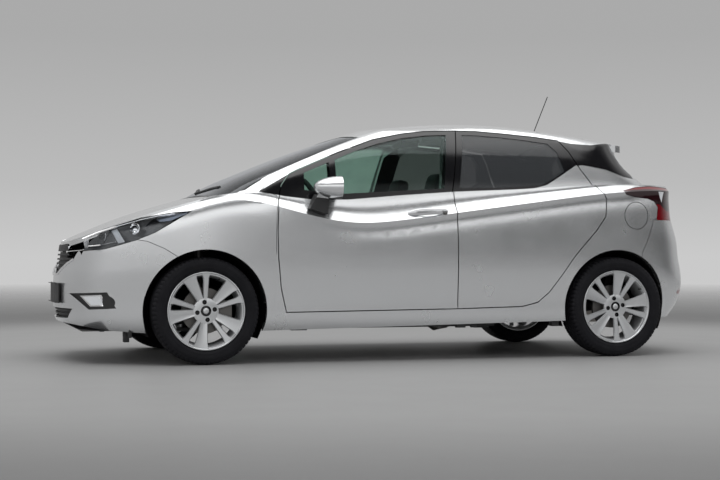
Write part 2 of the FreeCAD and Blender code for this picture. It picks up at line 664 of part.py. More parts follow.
def floor_pan():
    """Floor, tunnel, seat step, boot floor and bulkhead in one welded piece."""
    room = lower(POST_DEPTH + POST_THICKNESS + 1)
    wheelhouse_room = [arch(REAR_AXLE_Y, ARCH_RADIUS + PANEL + 2 + FIT, WHEELHOUSE_X - FIT),
                       arch(FRONT_AXLE_Y, ARCH_RADIUS + PANEL + 2 + FIT)]
    pads = [block(PAD_X - 30, PAD_X + 30, y - 45, y + 45, PAD_Z, FLOOR_Z + 2) for y in PAD_YS]
    tub = [room.common(block(0, 900, BULKHEAD_Y, SEAT_PAN_Y, FLOOR_Z, FLOOR_Z + FLOOR_WALL)),
           room.common(block(0, 900, SEAT_PAN_Y - FLOOR_WALL, SEAT_PAN_Y, FLOOR_Z, REAR_FLOOR_Z)),
           room.common(block(0, 900, SEAT_PAN_Y - FLOOR_WALL, BOOT_END_Y, REAR_FLOOR_Z - FLOOR_WALL, REAR_FLOOR_Z)),
           room.common(block(0, 900, BULKHEAD_Y, BULKHEAD_Y + FLOOR_WALL, FLOOR_Z, 925)),
           block(0, 130, BULKHEAD_Y, SEAT_PAN_Y, FLOOR_Z, FLOOR_Z + 130)]
    half = union(tub + pads).cut([block(-10, 114, BULKHEAD_Y - 5, SEAT_PAN_Y + 5, 100, FLOOR_Z + 114)] + wheelhouse_room)
    return both(largest(half.common(half_space())))


def front_structure():
    """Front rails, strut towers, wheelhouses, upper rails, engine mounts and bumper beam."""
    y = FRONT_AXLE_Y
    inner_bumper = lower(BUMPER_WALL + FIT)
    beam = inner_bumper.cut(lower(88, BUMPER_WALL + FIT)).common(block(0, 560, -2000, -1700, RAIL_Z, RAIL_Z + 90))
    rail = block(RAIL_X, RAIL_X + RAIL_WIDTH, -1900, BULKHEAD_Y, RAIL_Z, RAIL_Z + 90).common(inner_bumper)
    mount = block(ENGINE_HALF + FIT, RAIL_X + 5, -1300, -1230, RAIL_Z, RAIL_Z + 60)
    top = steer_point(FIT)
    tower = cylinder(TOWER_RADIUS + PANEL, steer_point(-340), steer_point(FIT + PANEL))
    upper = lower(WING_WALL + FIT).cut(deck_solid(78)).common(block(690, 830, -1700, BULKHEAD_Y, 500, 1000))
    upper = upper.cut([lower(70, WING_WALL + FIT), lamp_prism(TRIM_GAP)]).common(body(0))
    gusset = block(600, 760, y - 40, y + 40, 760, 930).common(lower(WING_WALL + FIT))
    half = union([beam, rail, mount, wheelhouse(y), tower, upper, gusset])
    half = half.cut([cylinder(TOWER_RADIUS, steer_point(-380), top), arch(y, ARCH_RADIUS + 2, WHEELHOUSE_X + PANEL, 1000),
                     cylinder(55, V(400, y, AXLE_Z), V(700, y, AXLE_Z)),
                     plan_prism(SCUTTLE, 400, 1300, 1).cut(deck_solid(BONNET_WALL + FIT)),
                     block(0, 1000, BULKHEAD_Y, 0, 0, 1000)])
    return both(half.common(half_space()))


def rear_structure():
    """Rear rails, wheelhouses, axle hangers, damper seats and bumper beam."""
    y = REAR_AXLE_Y
    under_floor = REAR_FLOOR_Z - FLOOR_WALL - FIT
    inner_bumper = lower(BUMPER_WALL + FIT)
    beam = inner_bumper.cut(lower(88, BUMPER_WALL + FIT)).common(block(0, 520, 1700, 2000, REAR_FLOOR_Z + FIT, 430))
    rail = block(REAR_RAIL_X, WHEELHOUSE_X + 1, SEAT_PAN_Y, 1960, REAR_RAIL_Z, under_floor).common(inner_bumper)
    riser = block(REAR_RAIL_X, WHEELHOUSE_X + 1, BOOT_END_Y + FIT, 1960, REAR_RAIL_Z, 430).common(inner_bumper)
    hanger = block(WHEELHOUSE_X - 2, AXLE_BUSH_X - FIT, y - 430, y - 370, 262, under_floor)
    seat_cup = cylinder(30, damper_point(1, DAMPER_LENGTH + FIT), damper_point(1, DAMPER_LENGTH + 75))
    half = union([rail, riser, beam, hanger, wheelhouse(y), seat_cup])
    arm_room = cylinder(34, V(535, y - 370, 289), V(562, y - 140, 280))
    half = half.cut([arch(y, ARCH_RADIUS + 2, WHEELHOUSE_X + PANEL, 1000), arm_room,
                     block(REAR_RAIL_X, 700, y - 250, y - 85, 225, REAR_RAIL_Z - FIT),
                     cylinder(70, V(WHEELHOUSE_X - 4, y, AXLE_Z), V(700, y, AXLE_Z)),
                     block(0, WHEELHOUSE_X - FIT, SEAT_PAN_Y - 50, BOOT_END_Y, under_floor, REAR_FLOOR_Z)])
    return both(half.common(half_space()))


def tyre(x):
    """Tyre with rounded shoulders and sidewalls."""
    half = TYRE_WIDTH / 2
    bead = x - RIM_WIDTH / 2 + RIM_FLANGE + FIT
    points = [(bead, RIM_SEAT_RADIUS + FIT), (bead, RIM_FLANGE_RADIUS + 1), (x - half + 7, RIM_FLANGE_RADIUS + 3),
              (x - half + 1, 236), (x - half, 252), (x - half + 6, 278), (x - half + 22, 295), (x - half + 52, 301),
              (x, TYRE_RADIUS)]
    points += [(2 * x - a, r) for a, r in reversed(points[:-1])]
    wire = Part.makePolygon([V(a, 0, r) for a, r in points] + [V(points[0][0], 0, points[0][1])])
    return Part.Face(wire).revolve(V(0, 0, 0), V(1, 0, 0), 360)


def rim(x, phase):
    """Alloy rim with five wide and five slim spokes, made at the origin height."""
    half = RIM_WIDTH / 2
    barrel = [(x - half, RIM_FLANGE_RADIUS), (x - half, RIM_FLANGE_RADIUS - 6), (x - half + 16, RIM_SEAT_RADIUS - 7),
              (x - 20, RIM_SEAT_RADIUS - 16), (x + half - 24, RIM_SEAT_RADIUS - 8), (x + half, RIM_FLANGE_RADIUS - 6),
              (x + half, RIM_FLANGE_RADIUS), (x + half - RIM_FLANGE, RIM_FLANGE_RADIUS), (x + half - RIM_FLANGE, RIM_SEAT_RADIUS),
              (x + half - 40, RIM_SEAT_RADIUS), (x + 10, RIM_SEAT_RADIUS - 10), (x - 10, RIM_SEAT_RADIUS - 10),
              (x - half + 40, RIM_SEAT_RADIUS), (x - half + RIM_FLANGE, RIM_SEAT_RADIUS), (x - half + RIM_FLANGE, RIM_FLANGE_RADIUS)]
    wire = Part.makePolygon([V(a, 0, r) for a, r in barrel] + [V(barrel[0][0], 0, barrel[0][1])])
    ring = Part.Face(wire).revolve(V(0, 0, 0), V(1, 0, 0), 360)
    seat = x + WHEEL_OFFSET
    hub = cylinder(72, V(seat, 0, 0), V(seat + 22, 0, 0)).cut(cylinder(28, V(seat - 1, 0, 0), V(seat + 30, 0, 0)))
    profile = [(seat + 2, 45), (seat + 22, 45), (x + half - 8, RIM_SEAT_RADIUS - 6), (x + half - 32, RIM_SEAT_RADIUS - 4)]
    face = Part.Face(Part.makePolygon([V(a, 0, r) for a, r in profile] + [V(profile[0][0], 0, profile[0][1])]))
    dish = face.revolve(V(0, 0, 0), V(1, 0, 0), 360)
    blades = []
    for i in range(5):
        for turn, inner, outer in ((0.0, 17.0, 40.0), (SLIM_SPOKE_TURN, 11.0, 19.0)):
            blade = prism([(-inner, 40), (inner, 40), (outer, RIM_SEAT_RADIUS), (-outer, RIM_SEAT_RADIUS)], "x", x - half, x + half)
            blade.rotate(V(0, 0, 0), V(1, 0, 0), 72 * i + turn + phase)
            blades.append(blade)
    return union([ring, hub, dish.common(union(blades))])


HAT_WALL = 6.0
SPINDLE_END = WHEEL_OFFSET - HAT_WALL - 2 * FIT


def brake(x, radius, thickness):
    """Brake disc with its hat, seated behind the rim."""
    seat = x + WHEEL_OFFSET - FIT
    hat = cylinder(70, V(seat - 46, 0, 0), V(seat, 0, 0))
    hat = hat.cut(cylinder(62, V(seat - 50, 0, 0), V(seat - HAT_WALL, 0, 0)))
    disc = cylinder(radius, V(seat - 46, 0, 0), V(seat - 46 + thickness, 0, 0)).cut(
        cylinder(64, V(seat - 60, 0, 0), V(seat, 0, 0)))
    return hat.fuse(disc)


def placed(shape, y, side):
    """A left wheel piece moved to its axle, and mirrored for the right side."""
    moved = shape.copy()
    moved.translate(V(0, y, AXLE_Z))
    return moved if side > 0 else mirrored(moved)


def knuckle():
    """Left steering knuckle with caliper, strut and spring in one piece."""
    x = TRACK_FRONT / 2
    y = FRONT_AXLE_Y
    disc_back = x + WHEEL_OFFSET - 46
    hub = cylinder(44, V(645, y, AXLE_Z), V(disc_back - 8, y, AXLE_Z))
    spindle = cylinder(27, V(645, y, AXLE_Z), V(x + SPINDLE_END, y, AXLE_Z))
    lower_leg = cylinder(17, V(BALL_JOINT[0], y, BALL_JOINT[1] + 10.2), V(680, y, AXLE_Z - 20))
    upper_leg = cylinder(20, V(660, y, AXLE_Z + 20), strut_line(425))
    tube = cylinder(STRUT_RADIUS, strut_line(395), strut_line(STRUT_TOP[1] - 20))
    spring = cylinder(SPRING_RADIUS, strut_line(640), strut_line(800))
    mount = cylinder(46, steer_point(-22), steer_point(0))
    arm = cylinder(11, V(668, y, AXLE_Z - 20), V(655, y + 120, AXLE_Z - 40))
    gap = 2.0
    rim_y = y + DISC_RADIUS + 22
    pads = block(disc_back - 22, disc_back - gap, y + 80, rim_y, AXLE_Z - 55, AXLE_Z + 55)
    outer_pad = block(disc_back + DISC_THICKNESS + gap, disc_back + DISC_THICKNESS + 20, y + 80, rim_y,
                      AXLE_Z - 55, AXLE_Z + 55)
    bridge = block(disc_back - 22, disc_back + DISC_THICKNESS + 20, rim_y - 18, rim_y, AXLE_Z - 50, AXLE_Z + 50)
    bracket = block(disc_back - 34, disc_back - gap - 4, y + 30, y + 100, AXLE_Z - 30, AXLE_Z + 30)
    caliper = union([pads, outer_pad, bridge, bracket]).cut(
        cylinder(DISC_RADIUS + gap, V(disc_back - gap, y, AXLE_Z), V(disc_back + DISC_THICKNESS + gap, y, AXLE_Z)))
    caliper = caliper.cut(cylinder(74, V(disc_back - gap, y, AXLE_Z), V(x + 80, y, AXLE_Z)))
    return union([hub, spindle, lower_leg, upper_leg, tube, spring, mount, arm, caliper])


def front_subframe():
    """Cross member and lower arms."""
    y = FRONT_AXLE_Y
    beam = block(-400, 400, y + 60, y + 190, 205, 250)
    arms = []
    for side in (1, -1):
        outline = [(380, y + 60), (380, y + 180), (560, y + 60), (BALL_JOINT[0] + 18, y + 16), (BALL_JOINT[0] + 18, y - 16),
                   (600, y - 22), (480, y - 60), (380, y - 90), (340, y - 40), (420, y + 10)]
        arm = prism([(side * a, b) for a, b in outline], "z", 172, 192 - FIT)
        legs = block(min(side * 350, side * 400), max(side * 350, side * 400), y - 60, y + 100, 190, 210)
        inner, outer = sorted((side * 385, side * 450))
        post = block(inner, outer, y + 70, y + 170, 205, RAIL_Z - FIT)
        arms += [arm, legs, post]
    return union([beam] + arms)


DAMPER_LENGTH = 290.0


def damper_point(side, distance):
    """Point on a rear damper's axis at a distance from its foot on the arm."""
    foot = V(side * 592, REAR_AXLE_Y + 8, 300)
    way = V(-side * 40, 110, 270).normalize()
    return foot + way * distance


def rear_axle():
    """Twist-beam axle with trailing arms, springs and dampers."""
    y = REAR_AXLE_Y
    beam = block(-560, 560, y - 230, y - 140, 245, 289)
    parts = [beam]
    for side in (1, -1):
        parts.append(cylinder(27, V(side * 532, y - 400, 290), V(side * 560, y - 150, 280)))
        parts.append(cylinder(26, V(side * 560, y - 180, 280), V(side * 600, y, AXLE_Z)))
        parts.append(cylinder(31, V(side * AXLE_BUSH_X, y - 400, 290), V(side * 560, y - 400, 290)))
        parts.append(cylinder(38, V(side * 590, y, AXLE_Z), V(side * (TRACK_REAR / 2 + WHEEL_OFFSET - 60), y, AXLE_Z)))
        parts.append(cylinder(24, V(side * 590, y, AXLE_Z), V(side * (TRACK_REAR / 2 + SPINDLE_END), y, AXLE_Z)))
        parts.append(cylinder(55, V(side * 447, y - 150, 262), V(side * 447, y - 150, REAR_RAIL_Z - FIT)))
        parts.append(cylinder(22, damper_point(side, 0), damper_point(side, DAMPER_LENGTH)))
    return union(parts)


def seat_profile(y, z, length, height, recline):
    """Side view of a seat: cushion and backrest."""
    back_y = y + length
    top_y = back_y + recline
    return [(y, z), (y - 20, z + 70), (y + 10, z + 130), (back_y - 60, z + 105), (back_y - 40, z + 140),
            (top_y - 80, z + height), (top_y + 10, z + height), (back_y + 70, z + 120), (back_y + 40, z)]


def seat(x0, x1, y, z, length, height, recline, heads):
    """Seat with headrests, its edges rounded by a narrower second layer."""
    profile = seat_profile(y, z, length, height, recline)
    whole = [prism(profile, "x", x0 + 25, x1 - 25), prism(grown(profile, -14), "x", x0, x1)]
    top = (y + length + recline - 35, z + height)
    for centre in heads:
        whole.append(block(centre - 120, centre + 120, top[0] - 30, top[0] + 50, top[1] + 30, top[1] + 190))
        for post in (-50, 50):
            whole.append(cylinder(6, V(centre + post, top[0], top[1] - 10), V(centre + post, top[0] + 4, top[1] + 40)))
    return union(whole)


def front_seats():
    """Both front seats on their risers."""
    seats = []
    for side in (1, -1):
        x0, x1 = sorted((side * 125, side * 625))
        base = block(x0 + 60, x1 - 60, -280, 130, FLOOR_Z + FLOOR_WALL, 330)
        base = base.cut(block(-131, 131, -400, 400, 0, 400))
        seats.append(union([seat(x0, x1, -310, 320, 460, 600, 170, [(x0 + x1) / 2]), base]))
    return Part.makeCompound(seats)


def rear_seat():
    """Rear bench with three headrests."""
    bench = seat(-600, 600, 620, REAR_FLOOR_Z, 420, 560, 160, [-390, 0, 390])
    housing = arch(REAR_AXLE_Y, ARCH_RADIUS + PANEL + 10, WHEELHOUSE_X - 10)
    return bench.cut([housing, mirrored(housing)])


WHEEL_CENTRE = V(370, -480, 905)
COLUMN_TILT = 24.0
COLUMN_AXIS = V(0, math.cos(math.radians(COLUMN_TILT)), math.sin(math.radians(COLUMN_TILT)))
HUB_LENGTH = 110.0


def dashboard():
    """Dashboard across the cabin, from the bulkhead back."""
    room = body(POST_DEPTH + POST_THICKNESS + 1)
    y = BULKHEAD_Y + FLOOR_WALL
    profile = [(y, 620), (y, 930), (y + 60, 965), (y + 300, 935), (y + 340, 900), (y + 300, 760), (y + 180, 640)]
    whole = both(room.common(prism(profile, "x", 0, 900)))
    end = WHEEL_CENTRE - COLUMN_AXIS * (HUB_LENGTH + FIT)
    whole = whole.cut(cylinder(34, end, WHEEL_CENTRE))
    return whole.fuse(cylinder(28, end - COLUMN_AXIS * 190, end))


def steering_wheel():
    """Steering wheel with three spokes."""
    torus = Part.makeTorus(178, 15)
    parts = [torus, Part.makeCylinder(52, 40, V(0, 0, -50)), Part.makeCylinder(24, HUB_LENGTH - 48, V(0, 0, -HUB_LENGTH))]
    for angle in (0, 180, 270):
        spoke = block(40, 172, -18, 18, -30, -12)
        spoke.rotate(V(0, 0, 0), V(0, 0, 1), angle)
        parts.append(spoke)
        rise = block(158, 176, -18, 18, -30, 0)
        rise.rotate(V(0, 0, 0), V(0, 0, 1), angle)
        parts.append(rise)
    wheel = union(parts)
    wheel.rotate(V(0, 0, 0), V(1, 0, 0), -(90 - COLUMN_TILT))
    wheel.translate(WHEEL_CENTRE)
    return wheel


def mirror_left():
    """Left door mirror: housing with its glass recess, on a foot on the door."""
    x, y, z = MIRROR_CENTRE
    half_width, depth, half_height = MIRROR_SIZE
    matrix = FreeCAD.Matrix()
    matrix.scale(half_width, depth, half_height)
    bulb = Part.makeSphere(1).transformGeometry(matrix)
    cap = bulb.common(block(-200, 200, -200, 0, -200, 200))
    matrix = FreeCAD.Matrix()
    matrix.scale(half_width - 9, depth, half_height - 9)
    recess = Part.makeSphere(1).transformGeometry(matrix).common(block(-200, 200, -MIRROR_RECESS, 1, -200, 200))
    cap = cap.cut(recess)
    cap.rotate(V(0, 0, 0), V(0, 0, 1), -MIRROR_SWEEP)
    cap.translate(V(x, y, z))
    foot = prism(MIRROR_FOOT, "x", 780, x - 20).cut(body(0))
    return largest(cap.fuse(foot))


PIPE_RADIUS = 26.0
TAIL_PIPE_RADIUS = 23.0
AERIAL_Y = 1122.0
ROOF_SLOPE = 0.128
AERIAL_TIP = (1230.0, 1667.0)


def exhaust():
    """Exhaust pipe and rear silencer."""
    route = [V(0, -1000 + FIT, 288), V(0, -962, 288), V(0, -925, 240), V(0, 300, 240), V(0, 430, 157), V(-260, 600, 157),
             V(-260, 760, 215), V(-260, 1500, 215)]
    runs = [cylinder(PIPE_RADIUS, a, b) for a, b in zip(route, route[1:])]
    bends = [Part.makeSphere(PIPE_RADIUS + 1, point) for point in route[1:-1]]
    silencer = block(-400, -120, 1480, 1780, 165, 305)
    tail = cylinder(TAIL_PIPE_RADIUS, V(-340, 1770, 204), V(-340, 1870, 200))
    floor = REAR_FLOOR_Z - FLOOR_WALL - FIT
    hangers = [cylinder(9, V(-300, y, 300), V(-300, y, floor)) for y in (1530, 1730)]
    return union(runs + bends + [silencer, tail] + hangers)


def aerial():
    """Whip aerial on its foot at the back of the roof."""
    base = V(0, AERIAL_Y, along(ROOF_LINE, AERIAL_Y) + 1.6)
    foot = Part.makeCone(16, 7, 20, base, V(0, ROOF_SLOPE, 1))
    whip = cylinder(3, base + V(0, 3, 8), V(0, *AERIAL_TIP))
    return foot.fuse(whip)


def on_skin(shape, x, z):
    """Foremost point of a shape at one x and z."""
    ray = Part.makeLine(V(x, -2100, z), V(x, 0, z))
    return min((vertex.Point for vertex in ray.common(shape).Vertexes), key=lambda point: point.y)


def wipers():
    """Two wiper arms with their blades, resting on the windscreen."""
    glass = cabin_half(GLASS_DEPTH, GLASS_DEPTH)
    arms = []
    for x0, z0, x1, z1 in ((560, 1000, 60, 1040), (20, 998, -500, 1040)):
        line = [on_skin(glass, abs(x0 + (x1 - x0) * t), z0 + (z1 - z0) * t) for t in (0, 0.5, 1)]
        first, middle, last = [V(x0 + (x1 - x0) * t, point.y, point.z + 11) for t, point in zip((0, 0.5, 1), line)]
        way = (last - first).normalize() * 16
        arms.append(union([cylinder(5, first, middle), cylinder(5, middle, last), cylinder(8, middle - way, middle + way)]))
    return Part.makeCompound(arms)


def build():
    """Make every piece of the car."""
    left_door = door(FRONT_DOOR, [FRONT_GLASS, QUARTER_GLASS])
    left_glass = pane([FRONT_GLASS, QUARTER_GLASS])
    left_rear = door(REAR_DOOR, [REAR_GLASS])
    left_rear_glass = pane([REAR_GLASS])
    left_side = body_side()
    left_wing = front_wing()
    nodes = {
        "floor_pan": floor_pan(), "front_structure": front_structure(), "rear_structure": rear_structure(),
        "body_side_left": left_side, "body_side_right": mirrored(left_side),
        "roof_panel": roof_panel(), "windscreen": windscreen(), "scuttle": scuttle(), "bonnet": bonnet(),
        "front_wings": Part.makeCompound([left_wing, mirrored(left_wing)]), "front_bumper": front_bumper(),
        "plate_holder": plate_holder(), "grille": grille(), "front_lamps": front_lamps(),
        "rear_bumper": rear_bumper(), "tail_lamps": tail_lamps(), "tailgate": tailgate(),
        "tailgate_glass": tailgate_glass(), "rear_spoiler": rear_spoiler(),
        "front_door_left": left_door, "front_door_right": mirrored(left_door),
        "front_door_glass_left": left_glass, "front_door_glass_right": mirrored(left_glass),
        "rear_door_left": left_rear, "rear_door_right": mirrored(left_rear),
        "rear_door_glass_left": left_rear_glass, "rear_door_glass_right": mirrored(left_rear_glass),
        "mirror_left": mirror_left(), "mirror_right": mirrored(mirror_left()),
        "front_seats": front_seats(), "rear_seat": rear_seat(), "dashboard": dashboard(),
        "steering_wheel": steering_wheel(), "front_subframe": front_subframe(), "rear_axle": rear_axle(),
        "knuckle_left": knuckle(), "knuckle_right": mirrored(knuckle()), "exhaust": exhaust(),
        "engine_block": block(-ENGINE_HALF, ENGINE_HALF, -1560, -1000, 270, 800),
        "fuel_tank": block(-150, REAR_RAIL_X - 5, 585, 880, 200, REAR_FLOOR_Z - FLOOR_WALL - FIT), "wipers": wipers(),
        "aerial": aerial(),
    }
    for end, y, track, phase in (("front", FRONT_AXLE_Y, TRACK_FRONT, FRONT_WHEEL_PHASE),
                                 ("rear", REAR_AXLE_Y, TRACK_REAR, REAR_WHEEL_PHASE)):
        for name, side in (("left", 1), ("right", -1)):
            nodes[f"tyre_{end}_{name}"] = placed(tyre(track / 2), y, side)
            nodes[f"rim_{end}_{name}"] = placed(rim(track / 2, phase), y, side)
            nodes[f"brake_{end}_{name}"] = placed(brake(track / 2, DISC_RADIUS, DISC_THICKNESS), y, side)
    return nodes


def main():
    """Write one STEP file per piece."""
    os.makedirs("parts", exist_ok=True)
    for name, shape in build().items():
        shape.exportStep(f"parts/{name}.step")


if __name__ == "__main__":
    main()
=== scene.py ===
"""Looks of a five-door hatchback car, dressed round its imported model.

Lengths are metres. The front of the car is -Y, its left side is +X and up is +Z.
"""

import json
import logging
import math
from dataclasses import dataclass, field
from enum import Enum
from typing import Callable, ClassVar, Sequence

import bmesh
import bpy
from mathutils import Matrix, Vector
from mathutils.bvhtree import BVHTree

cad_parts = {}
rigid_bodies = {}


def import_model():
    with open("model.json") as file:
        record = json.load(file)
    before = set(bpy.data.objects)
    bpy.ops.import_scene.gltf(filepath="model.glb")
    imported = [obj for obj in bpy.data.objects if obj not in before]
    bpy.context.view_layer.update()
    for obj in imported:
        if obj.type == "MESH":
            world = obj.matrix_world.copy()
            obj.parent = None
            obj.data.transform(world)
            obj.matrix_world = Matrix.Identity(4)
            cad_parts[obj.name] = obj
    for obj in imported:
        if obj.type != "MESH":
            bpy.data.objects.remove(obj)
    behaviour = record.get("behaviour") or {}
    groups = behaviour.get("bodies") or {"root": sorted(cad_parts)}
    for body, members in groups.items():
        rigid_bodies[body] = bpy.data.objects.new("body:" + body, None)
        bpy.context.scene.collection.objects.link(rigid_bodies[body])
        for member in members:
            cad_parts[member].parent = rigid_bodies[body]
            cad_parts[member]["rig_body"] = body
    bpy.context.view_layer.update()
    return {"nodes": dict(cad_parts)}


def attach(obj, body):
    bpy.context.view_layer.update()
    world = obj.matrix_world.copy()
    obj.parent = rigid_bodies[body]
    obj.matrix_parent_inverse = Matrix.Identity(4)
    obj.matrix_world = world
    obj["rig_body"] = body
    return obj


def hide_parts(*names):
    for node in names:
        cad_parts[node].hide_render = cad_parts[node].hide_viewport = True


LOG = logging.getLogger("hatchback")
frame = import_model()

Colour = tuple[float, float, float]
Spot = tuple[float, float]
SIDES = {"left": 1.0, "right": -1.0}


class Grain(Enum):
    """Ways in which a finish is uneven."""

    MOULDED = "moulded"
    WOVEN = "woven"
    BRUSHED = "brushed"
    CAST = "cast"


class ShaderBoard:
    """A material's node tree with short calls for adding and joining nodes."""

    def __init__(self, name: str) -> None:
        """Start an empty material.

        Args:
            name: The material's name.
        """
        self.material = bpy.data.materials.new(name)
        self.material.use_nodes = True
        self.tree = self.material.node_tree
        self.tree.nodes.clear()
        self.output = self.add("ShaderNodeOutputMaterial")

    def add(self, kind: str, **settings: object) -> bpy.types.Node:
        """Add a node.

        Args:
            kind: Blender's name of the node.
            **settings: Attributes to set on it.

        Returns:
            The new node.
        """
        node = self.tree.nodes.new(kind)
        for key, value in settings.items():
            setattr(node, key, value)
        return node

    def join(self, source: bpy.types.NodeSocket, target: bpy.types.NodeSocket) -> None:
        """Link one socket to another."""
        self.tree.links.new(source, target)

    def place(self, scale: Sequence[float] = (1.0, 1.0, 1.0)) -> bpy.types.NodeSocket:
        """Object coordinates, stretched along the axes.

        Args:
            scale: Stretch along X, Y and Z.

        Returns:
            The vector socket.
        """
        coordinates = self.add("ShaderNodeTexCoord")
        mapping = self.add("ShaderNodeMapping")
        mapping.inputs["Scale"].default_value = scale
        self.join(coordinates.outputs["Object"], mapping.inputs["Vector"])
        return mapping.outputs["Vector"]

    def noise(self, place: bpy.types.NodeSocket, scale: float, detail: float = 3.0) -> bpy.types.NodeSocket:
        """Noise value at a place.

        Args:
            place: Where the noise is read.
            scale: Features per metre.
            detail: Octaves.

        Returns:
            The noise factor's socket.
        """
        node = self.add("ShaderNodeTexNoise")
        node.inputs["Scale"].default_value = scale
        node.inputs["Detail"].default_value = detail
        self.join(place, node.inputs["Vector"])
        return node.outputs[0]

    def spread(self, value: bpy.types.NodeSocket, low: float, high: float) -> bpy.types.NodeSocket:
        """Map a noise value's middle range onto low to high.

        Args:
            value: The value's socket.
            low: Result at the low end.
            high: Result at the high end.

        Returns:
            The mapped value's socket.
        """
        node = self.add("ShaderNodeMapRange")
        node.inputs["From Min"].default_value = 0.3
        node.inputs["From Max"].default_value = 0.7
        node.inputs["To Min"].default_value = low
        node.inputs["To Max"].default_value = high
        self.join(value, node.inputs["Value"])
        return node.outputs["Result"]

    def blend(self, share: bpy.types.NodeSocket, first: Colour, second: Colour) -> bpy.types.NodeSocket:
        """Blend of two colours.

        Args:
            share: Share of the second colour.
            first: Colour at zero.
            second: Colour at one.

        Returns:
            The colour's socket.
        """
        node = self.add("ShaderNodeMix", data_type="RGBA")
        self.join(share, node.inputs[0])
        node.inputs[6].default_value = (*first, 1.0)
        node.inputs[7].default_value = (*second, 1.0)
        return node.outputs[2]

    def bump(self, height: bpy.types.NodeSocket, strength: float, distance: float,
             base: bpy.types.NodeSocket | None = None) -> bpy.types.NodeSocket:
        """Bumped normal.

        Args:
            height: Height value.
            strength: Strength of the bump.
            distance: Height of a full step in metres.
            base: Normal under this bump.

        Returns:
            The normal's socket.
        """
        node = self.add("ShaderNodeBump")
        node.inputs["Strength"].default_value = strength
        node.inputs["Distance"].default_value = distance
        self.join(height, node.inputs["Height"])
        if base is not None:
            self.join(base, node.inputs["Normal"])
        return node.outputs["Normal"]


def toned(colour: Colour, factor: float) -> Colour:
    """A colour made lighter or darker by a factor."""
    return tuple(min(1.0, part * factor) for part in colour)


@dataclass(frozen=True)
class Finish:
    """A solid finish with grain, uneven tone and uneven gloss."""

    name: str
    colour: Colour
    roughness: float = 0.5
    metallic: float = 0.0
    coat: float = 0.0
    coat_roughness: float = 0.04
    sheen: float = 0.0
    specular: float = 0.5
    grain: Grain = Grain.MOULDED
    grain_scale: float = 900.0
    grain_depth: float = 0.0003
    grain_strength: float = 0.25
    tone: float = 0.06
    stretch: tuple[float, float, float] = (1.0, 1.0, 1.0)

    def start(self) -> tuple[ShaderBoard, bpy.types.Node]:
        """Start a material with the values that are the same all over it.

        Returns:
            Its nodes and its shader.
        """
        board = ShaderBoard(self.name)
        shader = board.add("ShaderNodeBsdfPrincipled")
        for socket, value in (("Metallic", self.metallic), ("Coat Weight", self.coat),
                              ("Coat Roughness", self.coat_roughness), ("Sheen Weight", self.sheen),
                              ("Specular IOR Level", self.specular)):
            shader.inputs[socket].default_value = value
        return board, shader

    def build(self) -> bpy.types.Material:
        """Build the node tree.

        Returns:
            The new material.
        """
        board, shader = self.start()
        place = board.place(self.stretch)
        cloudy = board.noise(place, 5.0, 4.0)
        colour = board.blend(board.spread(cloudy, 0.0, 1.0), toned(self.colour, 1.0 - self.tone),
                             toned(self.colour, 1.0 + self.tone))
        board.join(colour, shader.inputs["Base Color"])
        roughest = min(1.0, self.roughness * 1.1)
        rough = board.spread(board.noise(place, 14.0, 3.0), self.roughness * 0.9, roughest)
        board.join(rough, shader.inputs["Roughness"])
        board.join(self.relief(board, place), shader.inputs["Normal"])
        board.join(shader.outputs[0], board.output.inputs["Surface"])
        return board.material

    def relief(self, board: ShaderBoard, place: bpy.types.NodeSocket) -> bpy.types.NodeSocket:
        """Normal with the finish's grain.

        Args:
            board: The material's nodes.
            place: Coordinates of the grain.

        Returns:
            The normal's socket.
        """
        if self.grain is Grain.WOVEN:
            height = self.weave(board, place)
        elif self.grain is Grain.MOULDED:
            cells = board.add("ShaderNodeTexVoronoi")
            cells.inputs["Scale"].default_value = self.grain_scale
            board.join(place, cells.inputs["Vector"])
            height = cells.outputs["Distance"]
        else:
            height = board.noise(place, self.grain_scale, 5.0)
        return board.bump(height, self.grain_strength, self.grain_depth)

    def weave(self, board: ShaderBoard, place: bpy.types.NodeSocket) -> bpy.types.NodeSocket:
        """Height of crossing threads.

        Args:
            board: The material's nodes.
            place: Coordinates of the weave.

        Returns:
            The height's socket.
        """
        heights = []
        for direction in ("X", "Y", "Z"):
            threads = board.add("ShaderNodeTexWave", bands_direction=direction)
            threads.inputs["Scale"].default_value = self.grain_scale
            threads.inputs["Distortion"].default_value = 0.4
            board.join(place, threads.inputs["Vector"])
            heights.append(threads.outputs["Fac"])
        first = board.add("ShaderNodeMath", operation="ADD")
        board.join(heights[0], first.inputs[0])
        board.join(heights[1], first.inputs[1])
        second = board.add("ShaderNodeMath", operation="ADD")
        board.join(first.outputs[0], second.inputs[0])
        board.join(heights[2], second.inputs[1])
        return second.outputs[0]


@dataclass(frozen=True)
class Paint(Finish):
    """Metallic lacquer: fine flakes under a clear coat."""

    flake_scale: float = 2600.0
    flake_change: float = 0.025

    def build(self) -> bpy.types.Material:
        """Build the node tree.

        Returns:
            The new material.
        """
        board, shader = self.start()
        place = board.place()
        flakes = board.add("ShaderNodeTexVoronoi")
        flakes.inputs["Scale"].default_value = self.flake_scale
        board.join(place, flakes.inputs["Vector"])
        split = board.add("ShaderNodeSeparateColor")
        board.join(flakes.outputs["Color"], split.inputs[0])
        colour = board.blend(split.outputs[0], toned(self.colour, 1.0 - self.flake_change),
                             toned(self.colour, 1.0 + self.flake_change))
        board.join(colour, shader.inputs["Base Color"])
        rough = board.spread(board.noise(place, 6.0, 3.0), self.roughness * 0.94, self.roughness * 1.06)
        board.join(rough, shader.inputs["Roughness"])
        board.join(shader.outputs[0], board.output.inputs["Surface"])
        return board.material


